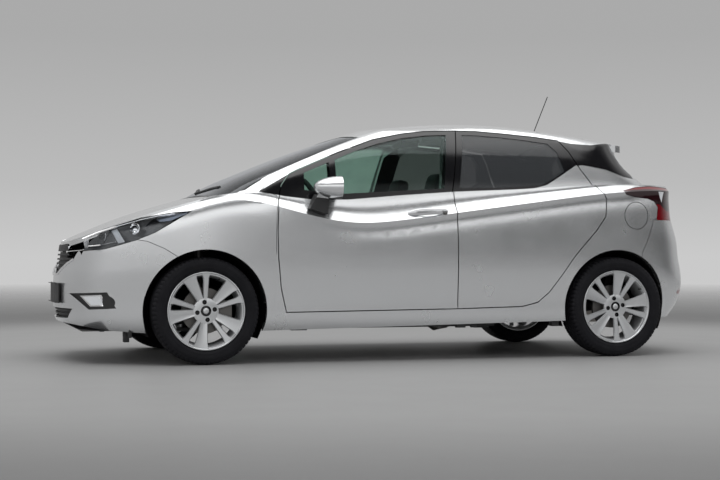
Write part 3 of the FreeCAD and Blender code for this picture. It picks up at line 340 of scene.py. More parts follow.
@dataclass(frozen=True)
class Glazing:
    """Clear or tinted glass that lets light through."""

    name: str
    tint: Colour
    ior: float = 1.48
    roughness: float = 0.0
    haze: float = 0.04

    def build(self) -> bpy.types.Material:
        """Build the node tree.

        Returns:
            The new material.
        """
        board = ShaderBoard(self.name)
        clear = board.add("ShaderNodeBsdfTransparent")
        gloss = board.add("ShaderNodeBsdfAnisotropic")
        gloss.inputs["Roughness"].default_value = self.roughness
        gloss.inputs["Color"].default_value = (0.95, 0.97, 1.0, 1.0)
        dust = board.spread(board.noise(board.place(), 9.0, 4.0), 0.0, 1.0)
        board.join(board.blend(dust, self.tint, toned(self.tint, 1.0 - self.haze)), clear.inputs["Color"])
        edge = board.add("ShaderNodeFresnel")
        edge.inputs["IOR"].default_value = self.ior
        mix = board.add("ShaderNodeMixShader")
        board.join(edge.outputs[0], mix.inputs[0])
        board.join(clear.outputs[0], mix.inputs[1])
        board.join(gloss.outputs[0], mix.inputs[2])
        board.join(mix.outputs[0], board.output.inputs["Surface"])
        return board.material


AnyFinish = Finish | Glazing


def material_of(finish: AnyFinish) -> bpy.types.Material:
    """A finish's material, made on first use."""
    found = bpy.data.materials.get(finish.name)
    return found if found is not None else finish.build()


SILVER = Paint("silver_lacquer", (0.63, 0.64, 0.65), roughness=0.26, metallic=0.88, coat=0.6,
               coat_roughness=0.03)
GLOSS_BLACK = Finish("gloss_black_trim", (0.004, 0.004, 0.005), roughness=0.14, grain_strength=0.02)
GRAINED_BLACK = Finish("grained_black_plastic", (0.018, 0.018, 0.019), roughness=0.62, grain_scale=1400.0)
LINER_BLACK = Finish("arch_liner_felt", (0.004, 0.004, 0.005), roughness=0.95, specular=0.1,
                     grain_scale=500.0, grain_strength=0.5)
SEALER = Finish("underbody_coating", (0.02, 0.02, 0.021), roughness=0.8, grain=Grain.CAST, grain_scale=160.0)
RUBBER = Finish("tyre_rubber", (0.006, 0.006, 0.008), roughness=0.78, specular=0.22, grain_scale=1800.0,
                tone=0.15)
ALLOY = Paint("wheel_silver", (0.56, 0.57, 0.58), roughness=0.3, metallic=0.75, coat=0.5)
BRIGHT = Finish("bright_chrome", (0.8, 0.8, 0.81), roughness=0.08, metallic=1.0, grain_strength=0.02,
                tone=0.02)
IRON = Finish("machined_iron", (0.13, 0.125, 0.12), roughness=0.46, metallic=0.85, grain=Grain.BRUSHED,
              grain_scale=500.0)
CAST = Finish("cast_alloy", (0.26, 0.26, 0.27), roughness=0.55, metallic=0.8, grain=Grain.CAST,
              grain_scale=240.0)
PIPE = Finish("exhaust_steel", (0.32, 0.30, 0.28), roughness=0.4, metallic=0.9, grain=Grain.BRUSHED,
              grain_scale=300.0, tone=0.2)
TANK = Finish("moulded_tank", (0.015, 0.015, 0.015), roughness=0.6, grain_scale=300.0)
SOFT_DASH = Finish("soft_dash_skin", (0.02, 0.02, 0.022), roughness=0.7, grain_scale=1100.0,
                   grain_strength=0.5)
LINING = Finish("door_card", (0.03, 0.03, 0.033), roughness=0.75, grain_scale=900.0, grain_strength=0.4)
HEADLINING = Finish("headlining_felt", (0.42, 0.42, 0.41), roughness=0.95, grain=Grain.CAST,
                    grain_scale=1200.0, sheen=0.3)
CARPET = Finish("carpet", (0.02, 0.02, 0.021), roughness=1.0, grain=Grain.CAST, grain_scale=1500.0,
                grain_strength=0.8, sheen=0.3)
CLOTH = Finish("seat_cloth", (0.030, 0.030, 0.034), roughness=0.9, grain=Grain.WOVEN, grain_scale=220.0,
               grain_strength=0.35, sheen=0.35, tone=0.18)
CLEAR_GREEN = Glazing("green_tinted_glass", (0.70, 0.80, 0.76), ior=1.26)
SCREEN_GREEN = Glazing("green_tinted_screen", (0.60, 0.69, 0.66), ior=1.5)
DARK_GLASS = Glazing("privacy_glass", (0.05, 0.055, 0.06), ior=1.13)
CLEAR_LENS = Glazing("clear_lens", (0.93, 0.95, 0.97), ior=1.46)
LAMP_DARK = Finish("lamp_housing", (0.03, 0.032, 0.036), roughness=0.25, coat=0.4, grain_strength=0.05)
LAMP_RED = Finish("red_lens", (0.16, 0.004, 0.008), roughness=0.10, coat=0.6, grain_strength=0.03)
LAMP_SMOKE = Finish("smoked_lens", (0.020, 0.004, 0.006), roughness=0.10, coat=0.6, grain_strength=0.03)
LAMP_BLUE = Finish("bluish_light_guide", (0.62, 0.68, 0.80), roughness=0.16, coat=0.5, grain_strength=0.05)
LAMP_WHITE = Finish("white_light_guide", (0.75, 0.77, 0.80), roughness=0.2, coat=0.5, grain_strength=0.05)
SILVERED = Finish("silvered_glass", (0.62, 0.65, 0.68), roughness=0.03, metallic=1.0, grain_strength=0.01,
                  tone=0.02)


POINT_MERGE = 0.00002
PANEL_MERGE = 0.0016


@dataclass(frozen=True)
class NodeDress:
    """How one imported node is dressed: its finish, and that of the side that faces the cabin."""

    finish: AnyFinish
    inside: AnyFinish | None = None
    way: tuple[float, float, float] = (0.0, 0.0, 0.0)
    crease: float = 30.0


class SkinCopy:
    """A merged and smooth-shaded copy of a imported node."""

    def __init__(self, node: str, dress: NodeDress) -> None:
        """Merge the node's triangles.

        Args:
            node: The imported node's name.
            dress: Its finishes.
        """
        self.node = node
        self.dress = dress
        self.finishes: list[AnyFinish] = [dress.finish]
        self.work = bmesh.new()
        self.work.from_mesh(frame["nodes"][node].data)
        for layer in list(self.work.loops.layers.uv.values()):
            self.work.loops.layers.uv.remove(layer)
        reach = PANEL_MERGE if isinstance(dress.finish, Paint) else POINT_MERGE
        bmesh.ops.remove_doubles(self.work, verts=self.work.verts[:], dist=reach)
        bmesh.ops.dissolve_degenerate(self.work, dist=0.000005, edges=self.work.edges[:])
        for face in self.work.faces:
            face.smooth = True
            face.material_index = 0
        self.work.normal_update()

    def index(self, finish: AnyFinish) -> int:
        """Slot of a finish on this piece, added on first use."""
        if finish not in self.finishes:
            self.finishes.append(finish)
        return self.finishes.index(finish)

    def cut_line(self, line: Sequence[Spot], axis: int = 1) -> None:
        """Divide the faces along a line of points.

        Args:
            line: Points as (Y, Z), or as (X, Z) where axis is 0.
            axis: Which axis the first number belongs to.
        """
        for (a0, z0), (a1, z1) in zip(line, line[1:]):
            normal = Vector((0.0, 0.0, 0.0))
            normal[axis] = -(z1 - z0)
            normal[2] = a1 - a0
            point = Vector((0.0, 0.0, z0))
            point[axis] = a0
            low, high = min(a0, a1) - 0.02, max(a0, a1) + 0.02
            faces = [face for face in self.work.faces
                     if any(low <= vert.co[axis] <= high for vert in face.verts)]
            edges = {edge for face in faces for edge in face.edges}
            verts = {vert for face in faces for vert in face.verts}
            if normal.length > 0:
                bmesh.ops.bisect_plane(self.work, geom=faces + list(edges) + list(verts), plane_co=point,
                                       plane_no=normal.normalized(), dist=0.00001)
        self.work.normal_update()

    def colour_faces(self, finish: AnyFinish, chosen: Callable[[Vector, Vector], bool]) -> None:
        """Give some faces another finish.

        Args:
            finish: Their finish.
            chosen: Test of a face's middle and normal.
        """
        number = self.index(finish)
        for face in self.work.faces:
            if chosen(face.calc_center_median(), face.normal):
                face.material_index = number

    def dish(self, oval: tuple[float, float, float, float], depth: float, sign: float) -> None:
        """Press an oval hollow into the outer skin.

        Args:
            oval: Its middle and half sizes, as (Y, Z, length, height).
            depth: Its depth in the middle.
            sign: 1 on the left side and -1 on the right.
        """
        y0, z0, half_y, half_z = oval
        angles = [math.tau * step / 24 for step in range(25)]
        self.cut_line([(y0 + half_y * math.cos(angle), z0 + half_z * math.sin(angle)) for angle in angles])

        def share(place: Vector) -> float:
            """Squared distance from the oval's middle, 1 on its edge."""
            return ((place.y - y0) / half_y) ** 2 + ((place.z - z0) / half_z) ** 2

        for _ in range(3):
            chosen = [face for face in self.work.faces if share(face.calc_center_median()) < 1.0
                      and face.normal.x * sign > 0.6]
            edges = {edge for face in chosen for edge in face.edges if edge.calc_length() > 0.006}
            bmesh.ops.subdivide_edges(self.work, edges=list(edges), cuts=1, use_grid_fill=True)
        bmesh.ops.triangulate(self.work, faces=[face for face in self.work.faces
                                                if share(face.calc_center_median()) < 1.1])
        for vert in self.work.verts:
            inside = share(vert.co)
            if inside < 1.0 and vert.normal.x * sign > 0.6:
                vert.co.x -= sign * depth * (1.0 - inside) ** 0.7
        self.work.normal_update()

    def tree(self) -> BVHTree:
        """Search tree of the skin's faces."""
        return BVHTree.FromBMesh(self.work)

    def finish_piece(self, body: str) -> bpy.types.Object:
        """Turn the copy into the piece that stands for its node.

        Args:
            body: Body that it rides on.

        Returns:
            The new object.
        """
        if self.dress.inside is not None:
            way = Vector(self.dress.way)
            self.colour_faces(self.dress.inside, lambda _, normal: normal.dot(way) > 0.35)
        limit = math.radians(self.dress.crease)
        for edge in self.work.edges:
            flat = len(edge.link_faces) == 2 and edge.calc_face_angle(math.pi) < limit
            edge.smooth = flat
        piece = to_piece(self.work, f"{self.node}_skin", self.finishes, smooth=None)
        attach(piece, body)
        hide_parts(self.node)
        return piece


def to_piece(work: bmesh.types.BMesh, name: str, finishes: Sequence[AnyFinish],
             smooth: float | None = 35.0) -> bpy.types.Object:
    """Make an object of a bmesh.

    Args:
        work: The shape, which is freed.
        name: Name of the piece.
        finishes: Finishes in the order of the faces' slots.
        smooth: Angle in degrees above which edges stay sharp, or None to keep the marks there are.

    Returns:
        The new object.
    """
    if smooth is not None:
        limit = math.radians(smooth)
        for face in work.faces:
            face.smooth = True
        for edge in work.edges:
            edge.smooth = len(edge.link_faces) == 2 and edge.calc_face_angle(math.pi) < limit
    mesh = bpy.data.meshes.new(name)
    work.to_mesh(mesh)
    work.free()
    for finish in finishes:
        mesh.materials.append(material_of(finish))
    piece = bpy.data.objects.new(name, mesh)
    bpy.context.scene.collection.objects.link(piece)
    return piece


def line_height(line: Sequence[Spot], value: float) -> float:
    """Height of a line of points at one place.

    Args:
        line: Points in rising order of their first number.
        value: Where the height is read.

    Returns:
        The height.
    """
    if value <= line[0][0]:
        return line[0][1]
    for (a0, z0), (a1, z1) in zip(line, line[1:]):
        if value <= a1:
            return z0 + (z1 - z0) * (value - a0) / (a1 - a0)
    return line[-1][1]


def inside_outline(outline: Sequence[Spot], first: float, second: float) -> bool:
    """Whether a point lies inside a closed outline.

    Args:
        outline: Corners of the outline.
        first: The point's first number.
        second: The point's second number.

    Returns:
        True inside.
    """
    hit = False
    for (a0, b0), (a1, b1) in zip(outline, list(outline[1:]) + [outline[0]]):
        if (b0 > second) != (b1 > second) and first < (a1 - a0) * (second - b0) / (b1 - b0) + a0:
            hit = not hit
    return hit


WAIST_LINE: tuple[Spot, ...] = ((-0.905, 0.979), (-0.765, 0.951), (-0.598, 0.934), (-0.385, 0.936),
                                (-0.058, 0.966), (0.285, 0.992), (0.669, 1.010), (0.795, 1.019),
                                (0.878, 1.039), (0.962, 1.087), (1.098, 1.168), (1.160, 1.169))
REAR_FIN: tuple[Spot, ...] = ((1.080, 1.160), (1.140, 1.168), (1.303, 1.141), (1.420, 1.100), (1.500, 1.090),
                              (1.560, 1.200), (1.480, 1.335), (1.243, 1.300), (1.100, 1.305), (1.000, 1.322))
FRONT_SAIL: tuple[Spot, ...] = ((-0.905, 0.979), (-0.765, 0.951), (-0.70, 0.940), (-0.66, 1.110),
                                (-0.705, 1.092), (-0.76, 1.062))


LAMP_BAND: tuple[Spot, ...] = ((1.340, 1.004), (1.420, 1.016), (1.520, 1.022), (1.600, 1.022), (1.700, 1.018),
                               (1.930, 1.016))
LAMP_FOOT: tuple[Spot, ...] = ((1.560, 0.800), (1.560, 0.930), (1.625, 0.930), (1.690, 0.890), (1.930, 0.890),
                               (1.930, 0.800))
LAMP_CLEAR: tuple[Spot, ...] = ((1.614, 1.008), (1.668, 1.008), (1.645, 0.942))
MIRROR_HEM: tuple[Spot, ...] = ((-0.640, 0.950), (-0.533, 0.938), (-0.400, 0.955))


def dress_side(side: str) -> dict[str, NodeDress]:
    """Dresses of one side's pieces.

    Args:
        side: Left or right.

    Returns:
        The dress of each node.
    """
    inwards = (-SIDES[side], 0.0, 0.0)
    return {
        f"body_side_{side}": NodeDress(SILVER, LINING, inwards),
        f"front_door_{side}": NodeDress(SILVER, LINING, inwards),
        f"rear_door_{side}": NodeDress(SILVER, LINING, inwards),
        f"front_door_glass_{side}": NodeDress(CLEAR_GREEN),
        f"rear_door_glass_{side}": NodeDress(DARK_GLASS),
        f"mirror_{side}": NodeDress(SILVER, crease=40.0),
        f"knuckle_{side}": NodeDress(IRON),
        f"brake_front_{side}": NodeDress(IRON),
        f"brake_rear_{side}": NodeDress(IRON),
    }


DRESSES: dict[str, NodeDress] = {
    "roof_panel": NodeDress(SILVER, HEADLINING, (0.0, 0.0, -1.0)),
    "bonnet": NodeDress(SILVER, LINER_BLACK, (0.0, 0.0, -1.0)),
    "front_wings": NodeDress(SILVER),
    "front_bumper": NodeDress(SILVER),
    "rear_bumper": NodeDress(SILVER),
    "tailgate": NodeDress(SILVER, LINING, (0.0, -1.0, 0.0)),
    "rear_spoiler": NodeDress(SILVER),
    "windscreen": NodeDress(SCREEN_GREEN),
    "tailgate_glass": NodeDress(DARK_GLASS),
    "scuttle": NodeDress(GRAINED_BLACK),
    "grille": NodeDress(GRAINED_BLACK),
    "front_lamps": NodeDress(CLEAR_LENS),
    "tail_lamps": NodeDress(LAMP_RED),
    "floor_pan": NodeDress(SEALER, CARPET, (0.0, 0.0, 1.0)),
    "dashboard": NodeDress(SOFT_DASH),
    "steering_wheel": NodeDress(SOFT_DASH),
    "front_subframe": NodeDress(SEALER),
    "rear_axle": NodeDress(SEALER),
    "exhaust": NodeDress(PIPE),
    "engine_block": NodeDress(CAST),
    "fuel_tank": NodeDress(TANK),
    "aerial": NodeDress(GRAINED_BLACK),
    "front_structure": NodeDress(LINER_BLACK),
    "rear_structure": NodeDress(LINER_BLACK),
    **dress_side("left"),
    **dress_side("right"),
}


@dataclass
class BodyShell:
    """The painted panels, glass and black trim, as smooth copies of their nodes."""

    trees: dict[str, BVHTree] = field(default_factory=dict)
    handle_cup: tuple[float, float, float, float] = (0.092, 0.862, 0.082, 0.030)
    handle_cup_depth: float = 0.018
    spoiler_tail: float = 1.478
    spoiler_draw: float = 0.42

    def build(self) -> None:
        """Make a smooth copy of each node."""
        for node, dress in DRESSES.items():
            if node not in frame["nodes"]:
                continue
            copy = SkinCopy(node, dress)
            self.trim(copy)
            self.trees[node] = copy.tree()
            copy.finish_piece(frame["nodes"][node]["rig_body"])
            LOG.info("panel %s", node)
        LOG.info("body shell: %d smooth copies", len(self.trees))

    def trim(self, copy: SkinCopy) -> None:
        """Divide off the black parts of one copy.

        Args:
            copy: The piece in the making.
        """
        if copy.node in ("front_door_left", "front_door_right"):
            copy.dish(self.handle_cup, self.handle_cup_depth, SIDES[copy.node.rsplit("_", 1)[-1]])
        if copy.node.startswith(("front_door_left", "front_door_right", "rear_door_left", "rear_door_right")):
            copy.cut_line(WAIST_LINE)
            copy.colour_faces(GLOSS_BLACK, lambda middle, _: middle.z > line_height(WAIST_LINE, middle.y))
        elif copy.node.startswith("body_side"):
            for outline in (REAR_FIN, FRONT_SAIL):
                copy.cut_line(list(outline) + [outline[0]])
            copy.colour_faces(GLOSS_BLACK, lambda middle, _: inside_outline(REAR_FIN, middle.y, middle.z)
                              or inside_outline(FRONT_SAIL, middle.y, middle.z))
        elif copy.node == "rear_spoiler":
            for vert in copy.work.verts:
                drawn = self.spoiler_tail + (vert.co.y - self.spoiler_tail) * self.spoiler_draw
                vert.co.y = min(vert.co.y, drawn)
            copy.work.normal_update()
        elif copy.node == "front_lamps":
            copy.colour_faces(LAMP_DARK, lambda middle, normal: not self.on_lens(middle, normal))
            copy.colour_faces(GRAINED_BLACK, lambda middle, _: middle.z < 0.45)
        elif copy.node == "tail_lamps":
            copy.cut_line(LAMP_BAND)
            copy.cut_line(list(LAMP_CLEAR) + [LAMP_CLEAR[0]])
            copy.cut_line(LAMP_FOOT[1:5])
            copy.colour_faces(LAMP_SMOKE, lambda middle, _: middle.z < line_height(LAMP_BAND, middle.y)
                              and not inside_outline(LAMP_FOOT, middle.y, middle.z))
            copy.colour_faces(LAMP_WHITE, lambda middle, _: inside_outline(LAMP_CLEAR, middle.y, middle.z))
        elif copy.node.startswith("mirror"):
            copy.cut_line(MIRROR_HEM)
            copy.colour_faces(GRAINED_BLACK, lambda middle, _: middle.z < line_height(MIRROR_HEM, middle.y))
            copy.colour_faces(GRAINED_BLACK, lambda middle, _: abs(middle.x) < 0.862)
            copy.colour_faces(SILVERED, lambda middle, normal: normal.y > 0.75 and middle.y > -0.46
                              and abs(middle.x) > 0.84)
            copy.colour_faces(GRAINED_BLACK, lambda middle, normal: middle.y > -0.437)

    @staticmethod
    def on_lens(middle: Vector, normal: Vector) -> bool:
        """Whether a lamp's face belongs to its outer surface.

        Args:
            middle: The face's middle.
            normal: Its normal.

        Returns:
            True on the lens.
        """
        outward = Vector((math.copysign(0.62, middle.x), -0.75, 0.22))
        return normal.dot(outward) > 0.22 and abs(normal.x) > 0.04


def lathe(profile: Sequence[Spot], steps: int, closed: bool = False) -> bmesh.types.BMesh:
    """Spin a line of (x, radius) points round the X axis.

    Args:
        profile: The points.
        steps: Steps of the full turn.
        closed: Whether the last point joins the first.

    Returns:
        The spun shape.
    """
    work = bmesh.new()
    verts = [work.verts.new((x, 0.0, radius)) for x, radius in profile]
    pairs = list(zip(verts, verts[1:]))
    if closed:
        pairs.append((verts[-1], verts[0]))
    edges = [work.edges.new(pair) for pair in pairs]
    bmesh.ops.spin(work, geom=verts + edges, cent=(0.0, 0.0, 0.0), axis=(1.0, 0.0, 0.0), angle=math.tau,
                   steps=steps, use_merge=True)
    bmesh.ops.remove_doubles(work, verts=work.verts[:], dist=0.00001)
    bmesh.ops.recalc_face_normals(work, faces=work.faces[:])
    return work


def bevelled(low: Sequence[float], high: Sequence[float], width: float,
             segments: int = 2) -> bmesh.types.BMesh:
    """A box with rounded edges.

    Args:
        low: Its low corner.
        high: Its high corner.
        width: Width of the rounding.
        segments: Faces across the rounding.

    Returns:
        The box.
    """
    work = bmesh.new()
    bmesh.ops.create_cube(work, size=1.0)
    bmesh.ops.scale(work, vec=Vector(high) - Vector(low), verts=work.verts[:])
    bmesh.ops.translate(work, vec=(Vector(high) + Vector(low)) / 2, verts=work.verts[:])
    bmesh.ops.bevel(work, geom=work.edges[:], offset=width, segments=segments, profile=0.5, affect="EDGES",
                    material=-1)
    return work


def loft(sections: Sequence[Sequence[Vector]], capped: bool = True) -> bmesh.types.BMesh:
    """Skin a row of sections with the same number of points.

    Args:
        sections: The sections in order.
        capped: Whether the ends are closed.

    Returns:
        The skin.
    """
    work = bmesh.new()
    rings = [[work.verts.new(point) for point in section] for section in sections]
    for first, second in zip(rings, rings[1:]):
        for here in range(len(first)):
            following = (here + 1) % len(first)
            work.faces.new((first[here], first[following], second[following], second[here]))
    if capped:
        work.faces.new(list(reversed(rings[0])))
        work.faces.new(rings[-1])
    bmesh.ops.remove_doubles(work, verts=work.verts[:], dist=0.00001)
    bmesh.ops.recalc_face_normals(work, faces=work.faces[:])
    return work


def tube(path: Sequence[Vector], radius: float, steps: int = 8, loop: bool = False) -> bmesh.types.BMesh:
    """A round rod along a row of points.

    Args:
        path: The points.
        radius: The rod's radius.
        steps: Sides of its section.
        loop: Whether the last point joins the first.

    Returns:
        The rod.
    """
    sections = []
    last = len(path) - 1
    for here, point in enumerate(path):
        before = path[here - 1] if here > 0 or loop else point
        after = path[0] if here == last and loop else path[min(here + 1, last)]
        way = (after - before).normalized()
        across = way.cross(Vector((0.31, 0.17, 0.93)))
        across.normalize()
        above = across.cross(way)
        ring = []
        for step in range(steps):
            angle = math.tau * step / steps
            ring.append(point + (across * math.cos(angle) + above * math.sin(angle)) * radius)
        sections.append(ring)
    if loop:
        sections.append(sections[0])
    return loft(sections, capped=not loop)


def absorb(target: bmesh.types.BMesh, source: bmesh.types.BMesh, matrix: Matrix | None = None,
           slot: int = 0) -> None:
    """Add one shape to another, and free it.

    Args:
        target: The shape that grows.
        source: The shape added.
        matrix: Where it goes.
        slot: Number of its finish.
    """
    if matrix is not None:
        source.transform(matrix)
        if matrix.determinant() < 0:
            bmesh.ops.reverse_faces(source, faces=source.faces[:])
    for face in source.faces:
        face.material_index = slot
    passing = bpy.data.meshes.new("passing")
    source.to_mesh(passing)
    target.from_mesh(passing)
    bpy.data.meshes.remove(passing)
    source.free()


def carved(base: bmesh.types.BMesh, cutter: bmesh.types.BMesh) -> bmesh.types.BMesh:
    """Cut one closed shape out of another.

    Args:
        base: The shape that is cut, which is freed.
        cutter: What is cut away, which is freed.

    Returns:
        What is left.
    """
    solid = to_piece(base, "carved_base", (), None)
    tool = to_piece(cutter, "carved_tool", (), None)
    step = solid.modifiers.new("cut", "BOOLEAN")
    step.operation = "DIFFERENCE"
    step.solver = "EXACT"
    step.object = tool
    bpy.context.view_layer.update()
    left = bpy.data.meshes.new_from_object(solid.evaluated_get(bpy.context.evaluated_depsgraph_get()))
    work = bmesh.new()
    work.from_mesh(left)
    bpy.data.meshes.remove(left)
    for piece in (solid, tool):
        mesh = piece.data
        bpy.data.objects.remove(piece)
        bpy.data.meshes.remove(mesh)
    return work


def facing(place: Sequence[float], way: Sequence[float]) -> Matrix:
    """Matrix that moves a shape made along +X to a place, turned to face a way."""
    turn = Vector((1.0, 0.0, 0.0)).rotation_difference(Vector(way).normalized())
    return Matrix.Translation(Vector(place)) @ turn.to_matrix().to_4x4()


def across(side: str) -> Matrix:
    """Matrix that keeps left pieces and mirrors right ones."""
    return Matrix.Diagonal((SIDES[side], 1.0, 1.0, 1.0))


def move_across(work: bmesh.types.BMesh, side: str, matrix: Matrix) -> None:
    """Move a shape, and turn its faces outwards again where that mirrors it."""
    work.transform(matrix)
    if side == "right":
        bmesh.ops.reverse_faces(work, faces=work.faces[:])


@dataclass(frozen=True)
class RoadWheel:
    """A tyre with cut tread on a ten-spoke alloy rim."""

    end: str
    side: str
    x: float
    y: float
    phase: float

    RADIUS: ClassVar[float] = 0.302
    AXLE_HEIGHT: ClassVar[float] = 0.302
    PITCHES: ClassVar[int] = 72
    STOPS: ClassVar[tuple[float, ...]] = (0.0, 0.76, 0.80, 0.96)
    GROOVES: ClassVar[tuple[float, ...]] = (-0.046, -0.016, 0.016, 0.046)
    GROOVE_DEPTH: ClassVar[float] = 0.0065
    SIDEWALL: ClassVar[tuple[Spot, ...]] = (
        (0.0892, 0.2935), (0.0918, 0.2895), (0.0934, 0.2840), (0.0953, 0.2765), (0.0961, 0.2700),
        (0.0966, 0.2694), (0.0967, 0.2640), (0.0966, 0.2590), (0.0960, 0.2584), (0.0952, 0.2520),
        (0.0936, 0.2445), (0.0941, 0.2438), (0.0936, 0.2400), (0.0904, 0.2340), (0.0858, 0.2280),
        (0.0815, 0.2232), (0.0780, 0.2190), (0.0775, 0.2060))
    BARREL: ClassVar[tuple[Spot, ...]] = (
        (-0.0860, 0.2195), (-0.0860, 0.2135), (-0.0700, 0.1960), (-0.0200, 0.1870), (0.0580, 0.1940),
        (0.0700, 0.2020), (0.0800, 0.2105), (0.0842, 0.2125), (0.0860, 0.2145), (0.0862, 0.2175),
        (0.0848, 0.2200), (0.0812, 0.2200), (0.0780, 0.2180), (0.0780, 0.2030), (0.0460, 0.2030),
        (0.0100, 0.1930), (-0.0100, 0.1930), (-0.0460, 0.2030), (-0.0780, 0.2030), (-0.0780, 0.2195))
    HUB: ClassVar[tuple[Spot, ...]] = (
        (0.0450, 0.0), (0.0450, 0.0720), (0.0640, 0.0740), (0.0672, 0.0715), (0.0680, 0.0690),
        (0.0680, 0.0300), (0.0660, 0.0290), (0.0664, 0.0240), (0.0676, 0.0170), (0.0700, 0.0158),
        (0.0718, 0.0130), (0.0728, 0.0070), (0.0730, 0.0))
    BOLT_RING: ClassVar[float] = 0.0500
    BOLT_TURN: ClassVar[float] = 10.0
    SLIM_TURN: ClassVar[float] = -27.0
    FINISHES: ClassVar[tuple[Finish, ...]] = (ALLOY, GLOSS_BLACK, RUBBER)

    def seat(self) -> Matrix:
        """Matrix from the wheel's own axes to its place on the car."""
        return across(self.side) @ Matrix.Translation((self.x, self.y, self.AXLE_HEIGHT))

    def body(self) -> str:
        """Body that the wheel turns with."""
        return f"wheel_{self.end}_{self.side}"

    def crown(self, x: float) -> Spot:
        """Point of the tread at one place across it."""
        return (x, self.RADIUS - 0.0042 * (abs(x) / 0.084) ** 2.4)

    def tread_line(self) -> list[Spot]:
        """Points across the tread and down both sidewalls.

        Returns:
            The line from the inner bead to the outer one.
        """
        stations: list[Spot] = [self.crown(-0.084), self.crown(-0.066)]
        for groove in self.GROOVES:
            for offset, drop in ((-0.0042, 0.0), (-0.0030, self.GROOVE_DEPTH), (0.0030, self.GROOVE_DEPTH),
                                 (0.0042, 0.0)):
                x, radius = self.crown(groove + offset)
                stations.append((x, radius - drop))
            if groove < self.GROOVES[-1]:
                stations.append(self.crown(groove + 0.015))
        stations.extend([self.crown(0.066), self.crown(0.084)])
        inner = [(-x, radius) for x, radius in reversed(self.SIDEWALL)]
        return inner + stations + list(self.SIDEWALL)

    def tyre(self) -> None:
        """Make the tyre with its grooves."""
        steps = self.PITCHES * len(self.STOPS)
        work = lathe(self.tread_line(), steps)
        for vert in work.verts:
            radius = math.hypot(vert.co.y, vert.co.z)
            angle = math.atan2(vert.co.y, vert.co.z) % math.tau
            pitch, stop = divmod(round(angle / math.tau * steps) % steps, len(self.STOPS))
            reach = abs(vert.co.x)
            fresh = (pitch + self.STOPS[stop]) * math.tau / self.PITCHES
            if radius > 0.2865:
                fresh += 0.020 * reach / 0.09
            if stop >= 2 and reach > 0.0505 and radius > 0.2865:
                radius -= 0.0055 if reach < 0.085 else 0.0026
            vert.co = (vert.co.x, radius * math.sin(fresh), radius * math.cos(fresh))
        move_across(work, self.side, self.seat())
        name = f"tyre_{self.end}_{self.side}"
        piece = to_piece(work, f"{name}_tread", (RUBBER,), 34.0)
        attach(piece, self.body())
        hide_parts(name)

    def blade(self, inner: float, outer: float, turn: float) -> bmesh.types.BMesh:
        """One spoke with chamfered edges and a shallow hollow along its middle.

        Args:
            inner: Half its width at the hub.
            outer: Half its width at the lip.
            turn: Its angle from straight up in degrees.

        Returns:
            The spoke.
        """
        sections = []
        for radius in (0.068, 0.076, 0.088, 0.104, 0.130, 0.160, 0.184, 0.198, 0.206, 0.2115):
            share = (radius - 0.040) / 0.163
            half = inner + (outer - inner) * share + 0.006 * max(0.0, share - 0.9) / 0.1
            face = 0.0665 + 0.0150 * share
            depth = 0.019 + 0.003 * share
            hollow = 0.0022 if outer > 0.03 else 0.0
            ring = ((-half * 0.84, face - depth), (-half, face - 0.0070), (-half + 0.0045, face),
                    (-half * 0.5, face - hollow * 0.6), (0.0, face - hollow),
                    (half * 0.5, face - hollow * 0.6), (half - 0.0045, face), (half, face - 0.0070),
                    (half * 0.84, face - depth))
            sections.append([Vector((x, y, radius)) for y, x in ring])
        work = loft(sections)
        work.transform(Matrix.Rotation(math.radians(turn), 4, "X"))
        return work

    def hub(self) -> bmesh.types.BMesh:
        """Hub face with four bolt sockets."""
        drills = bmesh.new()
        for number in range(4):
            turn = Matrix.Rotation(math.radians(self.BOLT_TURN + 90.0 * number), 4, "X")
            drill = lathe(((0.054, 0.0), (0.054, 0.0112), (0.0655, 0.0118), (0.075, 0.0165), (0.075, 0.0)),
                          24)
            absorb(drills, drill, turn @ Matrix.Translation((0.0, 0.0, self.BOLT_RING)))
        return carved(lathe(self.HUB, 64), drills)

    def rim(self) -> None:
        """Make the rim with its spokes, bolts, cap and valve."""
        work = bmesh.new()
        absorb(work, lathe(self.BARREL, 120, closed=True))
        for number in range(5):
            turn = 72.0 * number + self.phase
            absorb(work, self.blade(0.017, 0.040, turn))
            absorb(work, self.blade(0.011, 0.019, turn + self.SLIM_TURN))
        absorb(work, self.hub())
        for face in work.faces:
            middle = face.calc_center_median()
            radius = math.hypot(middle.y, middle.z)
            socket = math.hypot(radius - self.BOLT_RING, middle.x - 0.0660)
            if (0.0165 < radius < 0.0300 and middle.x > 0.0655) or (socket < 0.0150 and middle.x < 0.0672):
                face.material_index = 1
        for number in range(4):
            turn = Matrix.Rotation(math.radians(self.BOLT_TURN + 90.0 * number), 4, "X")
            bolt = lathe(((0.050, 0.0), (0.050, 0.0090), (0.0612, 0.0088), (0.0628, 0.0074), (0.0628, 0.0)),
                         6)
            absorb(work, bolt, turn @ Matrix.Translation((0.0, 0.0, self.BOLT_RING)), 1)
        valve = lathe(((0.0, 0.0), (0.0, 0.0035), (0.020, 0.0030), (0.021, 0.0038), (0.028, 0.0038),
                       (0.029, 0.0)), 10)
        turn = Matrix.Rotation(math.radians(self.phase - 50.0), 4, "X")
        absorb(work, valve, turn @ Matrix.Translation((0.056, 0.0, 0.193)), 2)
        move_across(work, self.side, self.seat())
        name = f"rim_{self.end}_{self.side}"
        piece = to_piece(work, f"{name}_alloy", self.FINISHES, 32.0)
        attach(piece, self.body())
        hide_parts(name)

    def build(self) -> None:
        """Make the tyre and the rim."""
        self.tyre()
        self.rim()


WHEELS: tuple[RoadWheel, ...] = tuple(
    RoadWheel(end, side, x, y, phase)
    for end, x, y, phase in (("front", 0.755, -1.217, 27.5), ("rear", 0.760, 1.308, -7.0)) for side in SIDES)


